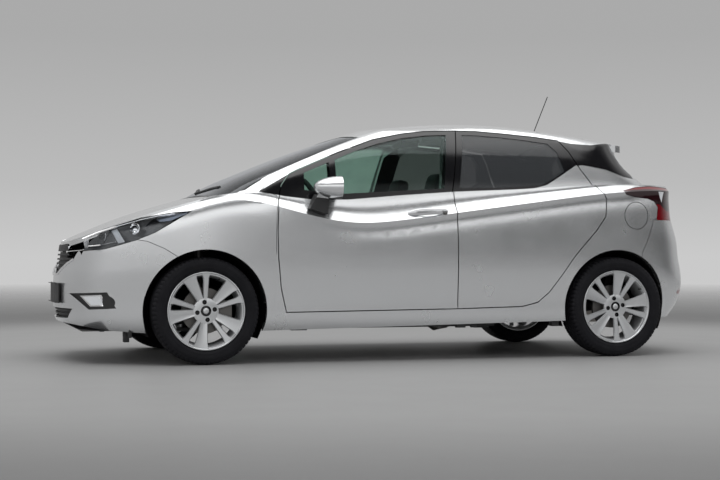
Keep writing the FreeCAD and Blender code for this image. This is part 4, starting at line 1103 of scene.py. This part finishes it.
@dataclass
class HeadLamp:
    """What shows behind a headlamp's lens, set back from the lens's own surface."""

    side: str
    tree: BVHTree
    block: tuple[Spot, ...] = ((-1.872, 0.690), (-1.864, 0.655), (-1.836, 0.655), (-1.842, 0.706))
    strip: tuple[Spot, ...] = ((-1.688, 0.680), (-1.654, 0.688), (-1.690, 0.762), (-1.720, 0.752))
    tip: tuple[Spot, ...] = ((-1.500, 0.838), (-1.318, 0.853), (-1.340, 0.840), (-1.416, 0.806),
                             (-1.470, 0.800))
    brow: tuple[Spot, ...] = ((-1.880, 0.704), (-1.800, 0.738), (-1.690, 0.776), (-1.565, 0.812),
                              (-1.470, 0.834), (-1.390, 0.845))
    lower_fin: tuple[Spot, ...] = ((-1.850, 0.664), (-1.770, 0.672), (-1.700, 0.690))
    projector: Spot = (-1.765, 0.722)
    bowl: Spot = (-1.596, 0.762)

    finishes: tuple[AnyFinish, ...] = (LAMP_DARK, BRIGHT, LAMP_WHITE, LAMP_BLUE, DARK_GLASS)
    work: bmesh.types.BMesh = field(default_factory=bmesh.new)

    def behind(self, spot: Spot, inward: float) -> Vector:
        """Point behind the lens on the left side.

        Args:
            spot: Its place from the side, as (Y, Z).
            inward: Distance behind the lens.

        Returns:
            The point.
        """
        hit = self.tree.ray_cast(Vector((1.3, spot[0], spot[1])), Vector((-1.0, 0.0, 0.0)))[0]
        x = hit.x if hit is not None else 0.62
        return Vector((x - inward, spot[0], spot[1]))

    def plate(self, corners: Sequence[Spot], inward: float, thickness: float, slot: int) -> None:
        """Add a plate that follows the lens.

        Args:
            corners: Its corners from the side.
            inward: Distance behind the lens.
            thickness: Its thickness.
            slot: Number of its finish.
        """
        front = [self.behind(corner, inward) for corner in corners]
        back = [self.behind(corner, inward + thickness) for corner in corners]
        shape = loft((back, front))
        bmesh.ops.bevel(shape, geom=shape.edges[:], offset=0.002, segments=2, profile=0.5, affect="EDGES",
                        material=-1)
        absorb(self.work, shape, None, slot)

    def build(self) -> None:
        """Make the insides of one lamp."""
        spot = self.behind(self.projector, 0.030)
        way = (0.72, -0.69, 0.02)
        ring = ((-0.040, 0.020), (-0.012, 0.030), (0.004, 0.034), (0.008, 0.0335), (0.008, 0.0300),
                (0.000, 0.0270))
        absorb(self.work, lathe(ring, 40), facing(spot, way), 1)
        dome = ((0.000, 0.0275), (0.008, 0.0235), (0.014, 0.0150), (0.0165, 0.0070), (0.0170, 0.0))
        absorb(self.work, lathe(dome, 32), facing(spot, way), 4)
        spot = self.behind(self.bowl, 0.026)
        bowl = ((0.010, 0.0340), (0.011, 0.0315), (0.002, 0.0270), (-0.008, 0.0190), (-0.013, 0.0080),
                (-0.014, 0.0))
        absorb(self.work, lathe(bowl, 36), facing(spot, way), 1)
        self.plate(self.block, 0.010, 0.016, 2)
        self.plate(self.strip, 0.012, 0.014, 2)
        self.plate(self.tip, 0.005, 0.008, 3)
        absorb(self.work, tube([self.behind(point, 0.010) for point in self.brow], 0.0068, 12), None, 1)
        absorb(self.work, tube([self.behind(point, 0.014) for point in self.lower_fin], 0.0035, 10), None, 1)
        move_across(self.work, self.side, across(self.side))
        piece = to_piece(self.work, f"headlamp_insides_{self.side}", self.finishes, 35.0)
        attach(piece, "car_body")


@dataclass
class DoorHandle:
    """A pull handle whose foot follows the door's skin, with a lock at the rear of the front one."""

    side: str
    tree: BVHTree
    body: str
    ends: tuple[Spot, Spot] = ((-0.033, 0.859), (0.209, 0.873))
    half_height: tuple[float, ...] = (0.009, 0.0135, 0.0165, 0.0185, 0.0195, 0.0200, 0.0205, 0.0205, 0.0205,
                                      0.0205, 0.0200, 0.0195, 0.0190, 0.0180, 0.0160, 0.0130, 0.009)
    stand_off: tuple[float, ...] = (0.002, 0.008, 0.014, 0.019, 0.0225, 0.0245, 0.026, 0.027, 0.0272, 0.027,
                                    0.026, 0.0245, 0.0225, 0.019, 0.014, 0.008, 0.002)
    depth: float = 0.0085
    lock_spot: Spot = (0.187, 0.860)

    def skin(self, spot: Spot) -> Vector:
        """Point of the door's skin seen from the side."""
        sign = SIDES[self.side]
        hit = self.tree.ray_cast(Vector((sign * 1.3, spot[0], spot[1])), Vector((-sign, 0.0, 0.0)))[0]
        return hit if hit is not None else Vector((sign * 0.85, spot[0], spot[1]))

    def build(self) -> None:
        """Make the bar and the lock."""
        sign = SIDES[self.side]
        (y0, z0), (y1, z1) = self.ends
        sections = []
        last = len(self.half_height) - 1
        for here, (half, stand) in enumerate(zip(self.half_height, self.stand_off)):
            share = here / last
            centre = self.skin((y0 + (y1 - y0) * share, z0 + (z1 - z0) * share))
            ring = []
            for step in range(16):
                angle = math.tau * step / 16
                out = math.copysign(abs(math.cos(angle)) ** 0.75, math.cos(angle)) * self.depth
                rise = math.copysign(abs(math.sin(angle)) ** 0.75, math.sin(angle)) * half
                ring.append(centre + Vector((sign * (stand + out), 0.0,
                                             rise + 0.004 * math.sin(math.pi * share))))
            sections.append(ring)
        work = bmesh.new()
        absorb(work, loft(sections))
        lock = self.skin(self.lock_spot) + Vector((sign * 0.0225, 0.0, 0.0))
        barrel = lathe(((-0.022, 0.0090), (0.0075, 0.0090), (0.0090, 0.0078), (0.0090, 0.0)), 24)
        absorb(work, barrel, facing(lock, (sign, 0.0, 0.02)), 1)
        piece = to_piece(work, f"front_handle_{self.side}", (SILVER, IRON), 40.0)
        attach(piece, self.body)


@dataclass
class PaddedSeat:
    """Seat pads made of stuffed covers, each pad a piece of its own."""

    name: str
    count: int = 0
    pressure: float = 3.5
    reach: float = 0.022

    def pad(self, size: Sequence[float], place: Sequence[float], lean: float, power: float = 5.0,
            cuts: int = 15) -> None:
        """Make one stuffed pad.

        Args:
            size: Its length along X, Y and Z.
            place: Its middle.
            lean: Turn about X in degrees.
            power: How square it is.
            cuts: Divisions of each side.
        """
        work = bmesh.new()
        bmesh.ops.create_cube(work, size=2.0)
        bmesh.ops.subdivide_edges(work, edges=work.edges[:], cuts=cuts, use_grid_fill=True)
        for vert in work.verts:
            reach = sum(abs(part) ** power for part in vert.co) ** (1.0 / power)
            vert.co = Vector(part / reach * half / 2 for part, half in zip(vert.co, size))
        work.transform(Matrix.Translation(Vector(place)) @ Matrix.Rotation(math.radians(lean), 4, "X"))
        piece = to_piece(work, f"{self.name}_pad_{self.count:02d}", (CLOTH,), 80.0)
        self.count += 1
        self.stuff(piece)
        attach(piece, "car_body")

    def stuff(self, piece: bpy.types.Object) -> None:
        """Let air pressure fill the pad's cover as cloth.

        Args:
            piece: The pad.
        """
        start = [vert.co.copy() for vert in piece.data.vertices]
        cloth = piece.modifiers.new("cover", "CLOTH")
        cloth.settings.use_pressure = True
        cloth.settings.uniform_pressure_force = self.pressure
        cloth.settings.quality = 6
        cloth.settings.tension_stiffness = 12.0
        cloth.settings.effector_weights.gravity = 0.0
        cloth.point_cache.frame_start = 1
        cloth.point_cache.frame_end = 12
        scene = bpy.context.scene
        for number in range(1, 13):
            scene.frame_set(number)
        shaped = bpy.data.meshes.new_from_object(piece.evaluated_get(bpy.context.evaluated_depsgraph_get()))
        ends = [vert.co.copy() for vert in shaped.vertices]
        bpy.data.meshes.remove(shaped)
        piece.modifiers.clear()
        for vert, before, after in zip(piece.data.vertices, start, ends):
            move = after - before
            if move.length > self.reach:
                move = move.normalized() * self.reach
            vert.co = before + move
        scene.frame_set(1)


def front_seats() -> None:
    """Make both front seats."""
    for side, sign in SIDES.items():
        seat = PaddedSeat(f"front_seat_{side}")
        x = 0.375 * sign
        seat.pad((0.30, 0.44, 0.105), (x, -0.105, 0.420), 5.0)
        for edge in (-1.0, 1.0):
            seat.pad((0.105, 0.43, 0.125), (x + edge * 0.190, -0.105, 0.430), 5.0, 4.0, 11)
            seat.pad((0.100, 0.110, 0.44), (x + edge * 0.185, 0.175, 0.690), -17.0, 4.0, 11)
        seat.pad((0.30, 0.095, 0.50), (x, 0.195, 0.690), -17.0)
        seat.pad((0.235, 0.085, 0.165), (x, 0.305, 1.035), -14.0, 4.0, 11)
        work = bmesh.new()
        for edge in (-0.055, 0.055):
            path = [Vector((x + edge, 0.268, 0.89)), Vector((x + edge, 0.297, 1.0))]
            absorb(work, tube(path, 0.007, 12))
        absorb(work, bevelled((x - 0.20, -0.27, 0.325), (x + 0.20, 0.08, 0.372), 0.010), None, 1)
        piece = to_piece(work, f"front_seat_frame_{side}", (BRIGHT, GRAINED_BLACK), 35.0)
        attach(piece, "car_body")
        if side == "left":
            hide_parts("front_seats")


def rear_bench() -> None:
    """Make the rear bench with three headrests."""
    seat = PaddedSeat("rear_bench")
    for x in (-0.395, 0.0, 0.395):
        seat.pad((0.385, 0.40, 0.115), (x, 0.835, 0.440), 6.0)
        seat.pad((0.385, 0.100, 0.47), (x, 1.085, 0.690), -17.0)
        seat.pad((0.215, 0.080, 0.135), (x, 1.180, 0.975), -14.0, 4.0, 9)
    work = bmesh.new()
    for x in (-0.39, 0.0, 0.39):
        for edge in (-0.05, 0.05):
            path = [Vector((x + edge, 1.150, 0.86)), Vector((x + edge, 1.172, 0.94))]
            absorb(work, tube(path, 0.006, 12))
    absorb(work, bevelled((-0.57, 0.65, 0.345), (0.57, 1.02, 0.392), 0.010), None, 1)
    piece = to_piece(work, "rear_bench_frame", (BRIGHT, GRAINED_BLACK), 35.0)
    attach(piece, "car_body")
    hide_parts("rear_seat")


@dataclass
class Trimmings:
    """Small parts laid on the body's own surfaces."""

    trees: dict[str, BVHTree]
    flap_centre: Spot = (1.438, 0.857)
    flap_radius: float = 0.083
    grille_v: tuple[Spot, ...] = ((0.0, 0.500), (0.075, 0.500), (0.150, 0.505), (0.230, 0.531),
                                  (0.320, 0.566), (0.400, 0.593), (0.436, 0.640), (0.446, 0.672))
    blade_rise: float = 0.004
    plate_front: float = -1.9975
    fog_frame: tuple[Spot, ...] = ((-1.876, 0.384), (-1.772, 0.391), (-1.738, 0.328), (-1.826, 0.324))
    fog_lens: tuple[Spot, ...] = ((-1.862, 0.378), (-1.780, 0.384), (-1.752, 0.336), (-1.820, 0.331))
    seam_heights: tuple[float, ...] = (0.200, 0.240, 0.290, 0.340, 0.400, 0.460, 0.520, 0.580, 0.620)
    seam_ys: tuple[float, ...] = (-0.8187, -0.8188, -0.8191, -0.8194, -0.8198, -0.8202, -0.8206, -0.8210,
                                  -0.8213)

    belly_boxes: tuple[tuple[tuple[float, float, float], tuple[float, float, float]], ...] = (
        ((0.575, -1.650, 0.122), (0.625, -1.618, 0.185)),
        ((0.600, -1.630, 0.150), (0.690, -1.612, 0.200)),
        ((0.770, 0.285, 0.186), (0.800, 0.345, 0.222)),
        ((0.770, 0.380, 0.186), (0.800, 0.415, 0.222)),
        ((0.740, 0.905, 0.186), (0.790, 0.950, 0.250)))

    def first_hit(self, nodes: Sequence[str], start: Vector, way: Sequence[float]) -> Vector | None:
        """Point where a ray first meets some nodes' surfaces.

        Args:
            nodes: The nodes.
            start: Where the ray starts.
            way: Which way it goes.

        Returns:
            The point, or None where nothing is hit.
        """
        hits = [self.trees[node].ray_cast(start, Vector(way))[0] for node in nodes]
        found = [hit for hit in hits if hit is not None]
        return min(found, key=lambda hit: (hit - start).length) if found else None

    def from_side(self, nodes: Sequence[str], spot: Spot, side: str = "left") -> Vector | None:
        """Outermost point of some nodes' surfaces at a (Y, Z) place, seen from one side."""
        sign = SIDES[side]
        return self.first_hit(nodes, Vector((sign * 1.3, spot[0], spot[1])), (-sign, 0.0, 0.0))

    def from_end(self, nodes: Sequence[str], spot: Spot, end: float) -> Vector | None:
        """Outermost point at an (X, Z) place, seen from the front (end -1) or the rear (end 1)."""
        return self.first_hit(nodes, Vector((spot[0], end * 2.5, spot[1])), (0.0, -end, 0.0))

    def from_above(self, nodes: Sequence[str], spot: Spot) -> Vector | None:
        """Highest point of some nodes' surfaces at an (X, Y) place."""
        return self.first_hit(nodes, Vector((spot[0], spot[1], 2.0)), (0.0, 0.0, -1.0))

    def emit(self, work: bmesh.types.BMesh, name: str, finishes: Sequence[AnyFinish],
             body: str) -> bpy.types.Object:
        """Make a piece of a shape, riding on a body."""
        piece = to_piece(work, name, finishes, 35.0)
        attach(piece, body)
        LOG.info("trimming %s", name)
        return piece

    def fuel_flap(self) -> None:
        """Dark gap round the round flap on the left rear wing."""
        y0, z0 = self.flap_centre
        path = []
        for step in range(64):
            angle = math.tau * step / 64
            spot = (y0 + self.flap_radius * math.cos(angle), z0 + self.flap_radius * math.sin(angle))
            hit = self.from_side(("body_side_left",), spot)
            if hit is not None:
                path.append(hit - Vector((0.0008, 0.0, 0.0)))
        self.emit(tube(path, 0.0021, 6, loop=True), "fuel_flap_gap", (LINER_BLACK,), "car_body")

    def grille_trim(self) -> None:
        """Bright strip along the grille's V."""
        work = bmesh.new()
        for sign in (1.0, -1.0):
            path = []
            for x, z in self.grille_v:
                hit = self.from_end(("front_bumper", "grille"), (sign * x, z), -1.0)
                if hit is not None:
                    path.append(hit + Vector((0.0, -0.001, 0.0)))
            if len(path) > 2:
                absorb(work, tube(path, 0.0065, 10))
        self.emit(work, "grille_bright_strip", (BRIGHT,), "car_body")

    def fog_lamps(self) -> None:
        """Pale lens in a bright frame on each fog lamp's bezel."""
        for side in SIDES:
            work = bmesh.new()
            absorb(work, self.wrapped("grille", self.fog_frame, (12, 6), 0.0030), across(side), 1)
            absorb(work, self.wrapped("grille", self.fog_lens, (12, 6), 0.0050), across(side), 0)
            self.emit(work, f"fog_lamp_lens_{side}", (LAMP_WHITE, BRIGHT), "car_body")

    def wrapped(self, node: str, corners: Sequence[Spot], cells: tuple[int, int],
                proud: float) -> bmesh.types.BMesh:
        """A four-cornered plate laid on a node's surface, as seen from the left side.

        Args:
            node: The node.
            corners: The plate's corners going round.
            cells: Its divisions along and across.
            proud: How far it stands above the surface.

        Returns:
            The plate.
        """
        work = bmesh.new()
        rows = []
        first, second, third, fourth = (Vector((0.0, *corner)) for corner in corners)
        for row in range(cells[1] + 1):
            line = []
            for column in range(cells[0] + 1):
                share = column / cells[0]
                spot = first.lerp(second, share).lerp(fourth.lerp(third, share), row / cells[1])
                start = Vector((1.3, spot.y, spot.z))
                hit, normal = self.trees[node].ray_cast(start, Vector((-1.0, 0.0, 0.0)))[:2]
                if hit is None:
                    hit, normal = Vector((0.7, spot.y, spot.z)), Vector((0.6, -0.8, 0.0))
                line.append(work.verts.new(hit + normal * proud))
            rows.append(line)
        for lower, upper in zip(rows, rows[1:]):
            for here in range(cells[0]):
                work.faces.new((lower[here], lower[here + 1], upper[here + 1], upper[here]))
        bmesh.ops.recalc_face_normals(work, faces=work.faces[:])
        bmesh.ops.solidify(work, geom=work.faces[:], thickness=0.004)
        bmesh.ops.recalc_face_normals(work, faces=work.faces[:])
        return work

    def plate_holder(self) -> None:
        """Slim blank plate holder, bowed with the bumper, on its pad."""
        sections = []
        for step in range(25):
            x = -0.26 + 0.52 * step / 24
            bow = 0.014 * (x / 0.26) ** 2
            sections.append([Vector((x, self.plate_front + bow + depth, z)) for depth, z in
                             ((0.0, 0.3365), (0.0, 0.4515), (0.0075, 0.4530), (0.0075, 0.3350))])
        work = bmesh.new()
        absorb(work, loft(sections))
        front = self.plate_front
        for low, high in ((0.3375, 0.3415), (0.4465, 0.4505)):
            absorb(work, bevelled((-0.25, front - 0.0018, low), (0.25, front + 0.004, high), 0.0012))
        absorb(work, bevelled((-0.15, front + 0.004, 0.350), (0.15, front + 0.060, 0.438), 0.004))
        piece = self.emit(work, "plate_holder_blank", (GRAINED_BLACK,), "car_body")
        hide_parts("plate_holder")

    def wipers(self) -> None:
        """Two wipers at rest at the foot of the windscreen."""
        work = bmesh.new()
        for foot, tip in (((0.44, -1.075), (-0.16, -1.105)), ((-0.12, -1.110), (-0.60, -1.000))):
            path = []
            for step in range(13):
                share = step / 12
                x, y = foot[0] + (tip[0] - foot[0]) * share, foot[1] + (tip[1] - foot[1]) * share
                hit = self.from_above(("windscreen", "scuttle"), (x, y))
                if hit is not None:
                    path.append(hit + Vector((0.0, 0.0, self.blade_rise)))
            if len(path) > 3:
                absorb(work, tube(path, 0.0050, 10))
                absorb(work, tube([point + Vector((0.0, 0.010, 0.004)) for point in path[:8]], 0.0060, 10))
        piece = self.emit(work, "wiper_arms_and_blades", (GRAINED_BLACK,), "car_body")
        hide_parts("wipers")

    def wing_seam(self) -> None:
        """Painted sealer over the joint between each front wing and the body side."""
        for side, sign in SIDES.items():
            rows = []
            for z, centre in zip(self.seam_heights, self.seam_ys):
                row = []
                for offset in (-0.010, -0.004, 0.002, 0.006):
                    hit = self.from_side(("front_wings", f"body_side_{side}"), (centre + offset, z), side)
                    if hit is not None:
                        row.append(hit + Vector((sign * 0.0004, 0.0, 0.0)))
                if len(row) == 4:
                    rows.append(row)
            work = bmesh.new()
            made = [[work.verts.new(point) for point in row] for row in rows]
            for lower, upper in zip(made, made[1:]):
                for here in range(3):
                    corners = [lower[here], lower[here + 1], upper[here + 1], upper[here]]
                    work.faces.new(corners if sign > 0 else list(reversed(corners)))
            self.emit(work, f"wing_joint_sealer_{side}", (SILVER,), "car_body")

    def rear_details(self) -> None:
        """Handle strip and high brake lamp on the tailgate, and a reflector at each end of the bumper."""
        work = bmesh.new()
        for row, (low, high, proud) in enumerate(((0.812, 0.846, 0.0012), (0.826, 0.836, 0.0040))):
            half = 0.17 - 0.05 * row
            absorb(work, self.laid(("tailgate",), (-half, half), (low, high), proud), None, row)
        self.emit(work, "tailgate_handle_strip", (GLOSS_BLACK, GRAINED_BLACK), "tailgate_body")
        lamp = self.laid(("rear_spoiler",), (-0.15, 0.15), (1.310, 1.324), 0.0015)
        self.emit(lamp, "high_brake_lamp", (LAMP_RED,), "tailgate_body")
        for side, sign in SIDES.items():
            ends = sorted((sign * 0.560, sign * 0.690))
            reflector = self.laid(("rear_bumper",), (ends[0], ends[1]), (0.372, 0.396), 0.0012)
            self.emit(reflector, f"rear_reflector_{side}", (LAMP_RED,), "car_body")

    def laid(self, nodes: Sequence[str], xs: Spot, zs: Spot, proud: float) -> bmesh.types.BMesh:
        """A slim plate laid on the rear of the body.

        Args:
            nodes: Nodes whose surface it follows.
            xs: Its ends along X.
            zs: Its ends along Z.
            proud: How far it stands above the surface.

        Returns:
            The plate.
        """
        sections = []
        for step in range(25):
            x = xs[0] + (xs[1] - xs[0]) * step / 24
            shrink = 0.5 * (zs[1] - zs[0]) * max(0.0, abs(step - 12) - 10) / 2 * 0.7
            ring = []
            for z in (zs[0] + shrink, zs[1] - shrink):
                hit = self.from_end(nodes, (x, z), 1.0)
                ring.append(hit if hit is not None else Vector((x, 1.5, z)))
            low, high = ring
            sections.append([low + Vector((0.0, -0.004, 0.0)), low + Vector((0.0, proud, 0.0)),
                             high + Vector((0.0, proud, 0.0)), high + Vector((0.0, -0.004, 0.0))])
        return loft(sections)

    def arch_liners(self) -> None:
        """Felt liner round each wheel's space, below the outer panels."""
        for side in SIDES:
            work = bmesh.new()
            for y, radius, low, high in ((-1.217, 0.3445, -28.0, 205.0), (1.308, 0.3445, -24.0, 200.0)):
                sections = []
                for step in range(49):
                    angle = math.radians(low + (high - low) * step / 48)
                    out, rise = math.cos(angle), math.sin(angle)
                    corners = ((0.500, radius), (0.770, radius), (0.770, radius + 0.002),
                               (0.500, radius + 0.002))
                    sections.append([Vector((x, y + out * reach, RoadWheel.AXLE_HEIGHT + rise * reach))
                                     for x, reach in corners])
                absorb(work, loft(sections), across(side))
            absorb(work, bevelled((0.496, -1.640, 0.150), (0.500, -1.440, 0.520), 0.001), across(side))
            absorb(work, bevelled((0.496, -1.000, 0.190), (0.500, -0.915, 0.420), 0.001), across(side))
            self.emit(work, f"arch_liners_{side}", (LINER_BLACK,), "car_body")
        tray = bevelled((-0.60, -1.880, 0.186), (0.60, -1.560, 0.189), 0.001)
        self.emit(tray, "nose_undertray", (GRAINED_BLACK,), "car_body")

    def belly_parts(self) -> None:
        """Air deflectors and clips under the bumper, the sills and ahead of the rear wheels."""
        for side, sign in SIDES.items():
            work = bmesh.new()
            for low, high in self.belly_boxes:
                absorb(work, bevelled(low, high, 0.004), across(side) if sign < 0 else None)
            self.emit(work, f"belly_deflectors_{side}", (GRAINED_BLACK,), "car_body")

    def build(self) -> None:
        """Make all the small parts."""
        self.fuel_flap()
        self.grille_trim()
        self.fog_lamps()
        self.plate_holder()
        self.wipers()
        self.wing_seam()
        self.rear_details()
        self.arch_liners()
        self.belly_parts()


@dataclass
class Studio:
    """Pale floor, plain backdrop, soft light and the camera."""

    place: tuple[float, float, float] = (8.7882, -2.7077, 0.6069)
    azimuth: float = 73.2948
    rise: float = -0.6598
    lens: float = 71.92
    floor_size: float = 26.0
    floor_tone: float = 0.36
    # Painted shade: the floor tone that the camera sees towards the rim, where the lamp's light falls off.
    shaded_rim_tone: float = 0.14
    wall_tone: float = 0.46
    sky_strength: float = 1.6

    OVERHEAD: ClassVar[tuple[Spot, ...]] = ((0.0, 0.0), (1.0, 1.0), (0.14, 0.0), (0.24, 0.85), (0.52, 0.95),
                                            (0.60, 0.04), (0.80, 0.04), (0.86, 0.95))
    HORIZON: ClassVar[tuple[Spot, ...]] = ((0.0, 0.42), (1.0, 0.01), (0.52, 0.56), (0.58, 0.32),
                                           (0.635, 0.07), (0.70, 0.02))
    FAR_SIDE: ClassVar[tuple[Spot, ...]] = ((0.0, 0.28), (1.0, 0.45), (0.30, 0.32))
    WALL: ClassVar[tuple[Spot, ...]] = ((0.0, 1.28), (1.0, 0.8), (0.05, 1.08), (0.15, 0.88))

    def build(self) -> None:
        """Make the camera, the floor and the lights."""
        self.camera()
        self.floor()
        self.world()
        self.lamp("top_softbox", (0.1, 0.0, 5.2), (0.1, 0.0, 0.0), (6.2, 7.4), 230.0)
        LOG.info("studio: camera, floor and lamps")

    def camera(self) -> None:
        """Place the camera where the photograph was taken from."""
        data = bpy.data.cameras.new("photo_camera")
        data.sensor_width = 36.0
        data.lens = self.lens
        data.clip_end = 200.0
        camera = bpy.data.objects.new("photo_camera", data)
        bpy.context.scene.collection.objects.link(camera)
        turn, rise = math.radians(self.azimuth), math.radians(self.rise)
        back = Vector((math.sin(turn) * math.cos(rise), -math.cos(turn) * math.cos(rise), math.sin(rise)))
        camera.location = self.place
        camera.rotation_mode = "QUATERNION"
        camera.rotation_quaternion = (-back).to_track_quat("-Z", "Y")
        bpy.context.scene.camera = camera

    def floor(self) -> None:
        """Lay a round floor with painted shade that fades into the backdrop: the camera sees it darker than
        the light it throws back, and darkest towards its rim.
        """
        work = bmesh.new()
        bmesh.ops.create_circle(work, cap_ends=True, segments=96, radius=self.floor_size)
        mesh = bpy.data.meshes.new("studio_floor")
        work.to_mesh(mesh)
        work.free()
        board = ShaderBoard("studio_floor")
        paint = board.add("ShaderNodeBsdfPrincipled")
        paint.inputs["Specular IOR Level"].default_value = 0.3
        place = board.place()
        tone = board.blend(board.spread(board.noise(place, 0.8, 5.0), 0.0, 1.0),
                           (self.floor_tone * 0.985,) * 3, (self.floor_tone * 1.015,) * 3)
        middle = board.add("ShaderNodeVectorMath", operation="LENGTH")
        board.join(place, middle.inputs[0])
        # Painted shade: for camera rays only, the floor's tone is mixed towards the shaded rim tone, partly
        # near the car and fully beyond about 5.8 m.
        shade_share = board.add("ShaderNodeMapRange", interpolation_type="SMOOTHSTEP")
        shade_share.inputs["From Min"].default_value = 3.6
        shade_share.inputs["From Max"].default_value = 5.8
        shade_share.inputs["To Min"].default_value = 0.45
        board.join(middle.outputs["Value"], shade_share.inputs["Value"])
        path = board.add("ShaderNodeLightPath")
        camera_shade_share = board.add("ShaderNodeMath", operation="MULTIPLY")
        board.join(shade_share.outputs["Result"], camera_shade_share.inputs[0])
        board.join(path.outputs["Is Camera Ray"], camera_shade_share.inputs[1])
        shade = board.add("ShaderNodeMix", data_type="RGBA")
        board.join(camera_shade_share.outputs[0], shade.inputs[0])
        board.join(tone, shade.inputs[6])
        shade.inputs[7].default_value = (self.shaded_rim_tone, self.shaded_rim_tone, self.shaded_rim_tone, 1.0)
        board.join(shade.outputs[2], paint.inputs["Base Color"])
        board.join(board.spread(board.noise(place, 3.0, 4.0), 0.50, 0.53), paint.inputs["Roughness"])
        fade = board.add("ShaderNodeMapRange")
        fade.inputs["From Min"].default_value = 6.5
        fade.inputs["From Max"].default_value = self.floor_size - 2.0
        board.join(middle.outputs["Value"], fade.inputs["Value"])
        clear = board.add("ShaderNodeBsdfTransparent")
        mix = board.add("ShaderNodeMixShader")
        board.join(fade.outputs["Result"], mix.inputs[0])
        board.join(paint.outputs[0], mix.inputs[1])
        board.join(clear.outputs[0], mix.inputs[2])
        board.join(mix.outputs[0], board.output.inputs["Surface"])
        mesh.materials.append(board.material)
        piece = bpy.data.objects.new("studio_floor", mesh)
        bpy.context.scene.collection.objects.link(piece)

    def world(self) -> None:
        """Even grey backdrop that is brighter overhead."""
        world = bpy.data.worlds.new("studio")
        bpy.context.scene.world = world
        world.use_nodes = True
        tree = world.node_tree
        tree.nodes.clear()
        output = tree.nodes.new("ShaderNodeOutputWorld")
        light = tree.nodes.new("ShaderNodeBackground")
        coordinates = tree.nodes.new("ShaderNodeTexCoord")
        split = tree.nodes.new("ShaderNodeSeparateXYZ")
        tree.links.new(coordinates.outputs["Generated"], split.inputs[0])
        band = self.ramp(tree, split.outputs["Z"], self.OVERHEAD)
        along = self.span(tree, split.outputs["Y"], -1.0, 1.0)
        horizon = self.ramp(tree, along, self.HORIZON)
        rise = self.span(tree, split.outputs["Z"], 0.10, 0.22)
        near = self.mixed(tree, rise, horizon, band)
        far = self.ramp(tree, split.outputs["Z"], self.FAR_SIDE)
        share = self.span(tree, split.outputs["X"], -0.35, 0.10)
        tree.links.new(self.mixed(tree, share, far, near), light.inputs["Color"])
        light.inputs["Strength"].default_value = self.sky_strength
        backdrop = tree.nodes.new("ShaderNodeBackground")
        stops = [(height, self.wall_tone * grey) for height, grey in self.WALL]
        wall = self.ramp(tree, split.outputs["Z"], stops)
        tree.links.new(wall, backdrop.inputs["Color"])
        path = tree.nodes.new("ShaderNodeLightPath")
        mix = tree.nodes.new("ShaderNodeMixShader")
        tree.links.new(path.outputs["Is Camera Ray"], mix.inputs[0])
        tree.links.new(light.outputs[0], mix.inputs[1])
        tree.links.new(backdrop.outputs[0], mix.inputs[2])
        tree.links.new(mix.outputs[0], output.inputs["Surface"])

    @staticmethod
    def span(tree: bpy.types.NodeTree, value: bpy.types.NodeSocket, low: float,
             high: float) -> bpy.types.NodeSocket:
        """A value mapped from low and high onto zero and one."""
        node = tree.nodes.new("ShaderNodeMapRange")
        node.inputs["From Min"].default_value = low
        node.inputs["From Max"].default_value = high
        tree.links.new(value, node.inputs["Value"])
        return node.outputs["Result"]

    @staticmethod
    def mixed(tree: bpy.types.NodeTree, share: bpy.types.NodeSocket, first: bpy.types.NodeSocket,
              second: bpy.types.NodeSocket) -> bpy.types.NodeSocket:
        """Blend of two colours, by the share of the second."""
        node = tree.nodes.new("ShaderNodeMix")
        node.data_type = "RGBA"
        for number, source in ((0, share), (6, first), (7, second)):
            tree.links.new(source, node.inputs[number])
        return node.outputs[2]

    @staticmethod
    def ramp(tree: bpy.types.NodeTree, value: bpy.types.NodeSocket,
             stops: Sequence[Spot]) -> bpy.types.NodeSocket:
        """Grey ramp of a value.

        Args:
            tree: The world's nodes.
            value: What it is read at.
            stops: Places and greys: the two ends, then those between.

        Returns:
            The colour's socket.
        """
        node = tree.nodes.new("ShaderNodeValToRGB")
        elements = node.color_ramp.elements
        for number, (place, grey) in enumerate(stops):
            stop = elements[number] if number < 2 else elements.new(place)
            stop.position = place
            stop.color = (grey, grey, grey, 1.0)
        tree.links.new(value, node.inputs["Fac"])
        return node.outputs["Color"]

    def lamp(self, name: str, place: Sequence[float], target: Sequence[float], size: Spot,
             power: float) -> None:
        """Add one soft rectangular lamp.

        Args:
            name: Its name.
            place: Where it hangs.
            target: What it points at.
            size: Its length and width.
            power: Its power in watts.
        """
        data = bpy.data.lights.new(name, "AREA")
        data.shape = "RECTANGLE"
        data.size, data.size_y = size
        data.energy = power
        lamp = bpy.data.objects.new(name, data)
        bpy.context.scene.collection.objects.link(lamp)
        lamp.location = place
        lamp.rotation_mode = "QUATERNION"
        lamp.rotation_quaternion = (Vector(target) - Vector(place)).to_track_quat("-Z", "Y")


def main() -> None:
    """Build the scene."""
    logging.basicConfig(level=logging.INFO, format="%(name)s: %(message)s")
    bpy.context.scene.view_settings.view_transform = "Standard"
    Studio().build()
    shell = BodyShell()
    shell.build()
    for wheel in WHEELS:
        wheel.build()
        LOG.info("wheel %s %s", wheel.end, wheel.side)
    for side in SIDES:
        HeadLamp(side, shell.trees["front_lamps"]).build()
        DoorHandle(side, shell.trees[f"front_door_{side}"], f"front_door_{side}_body").build()
        LOG.info("headlamp and door handle %s", side)
    front_seats()
    rear_bench()
    LOG.info("seats: front pair and rear bench")
    Trimmings(shell.trees).build()


if __name__ == "__main__":
    main()
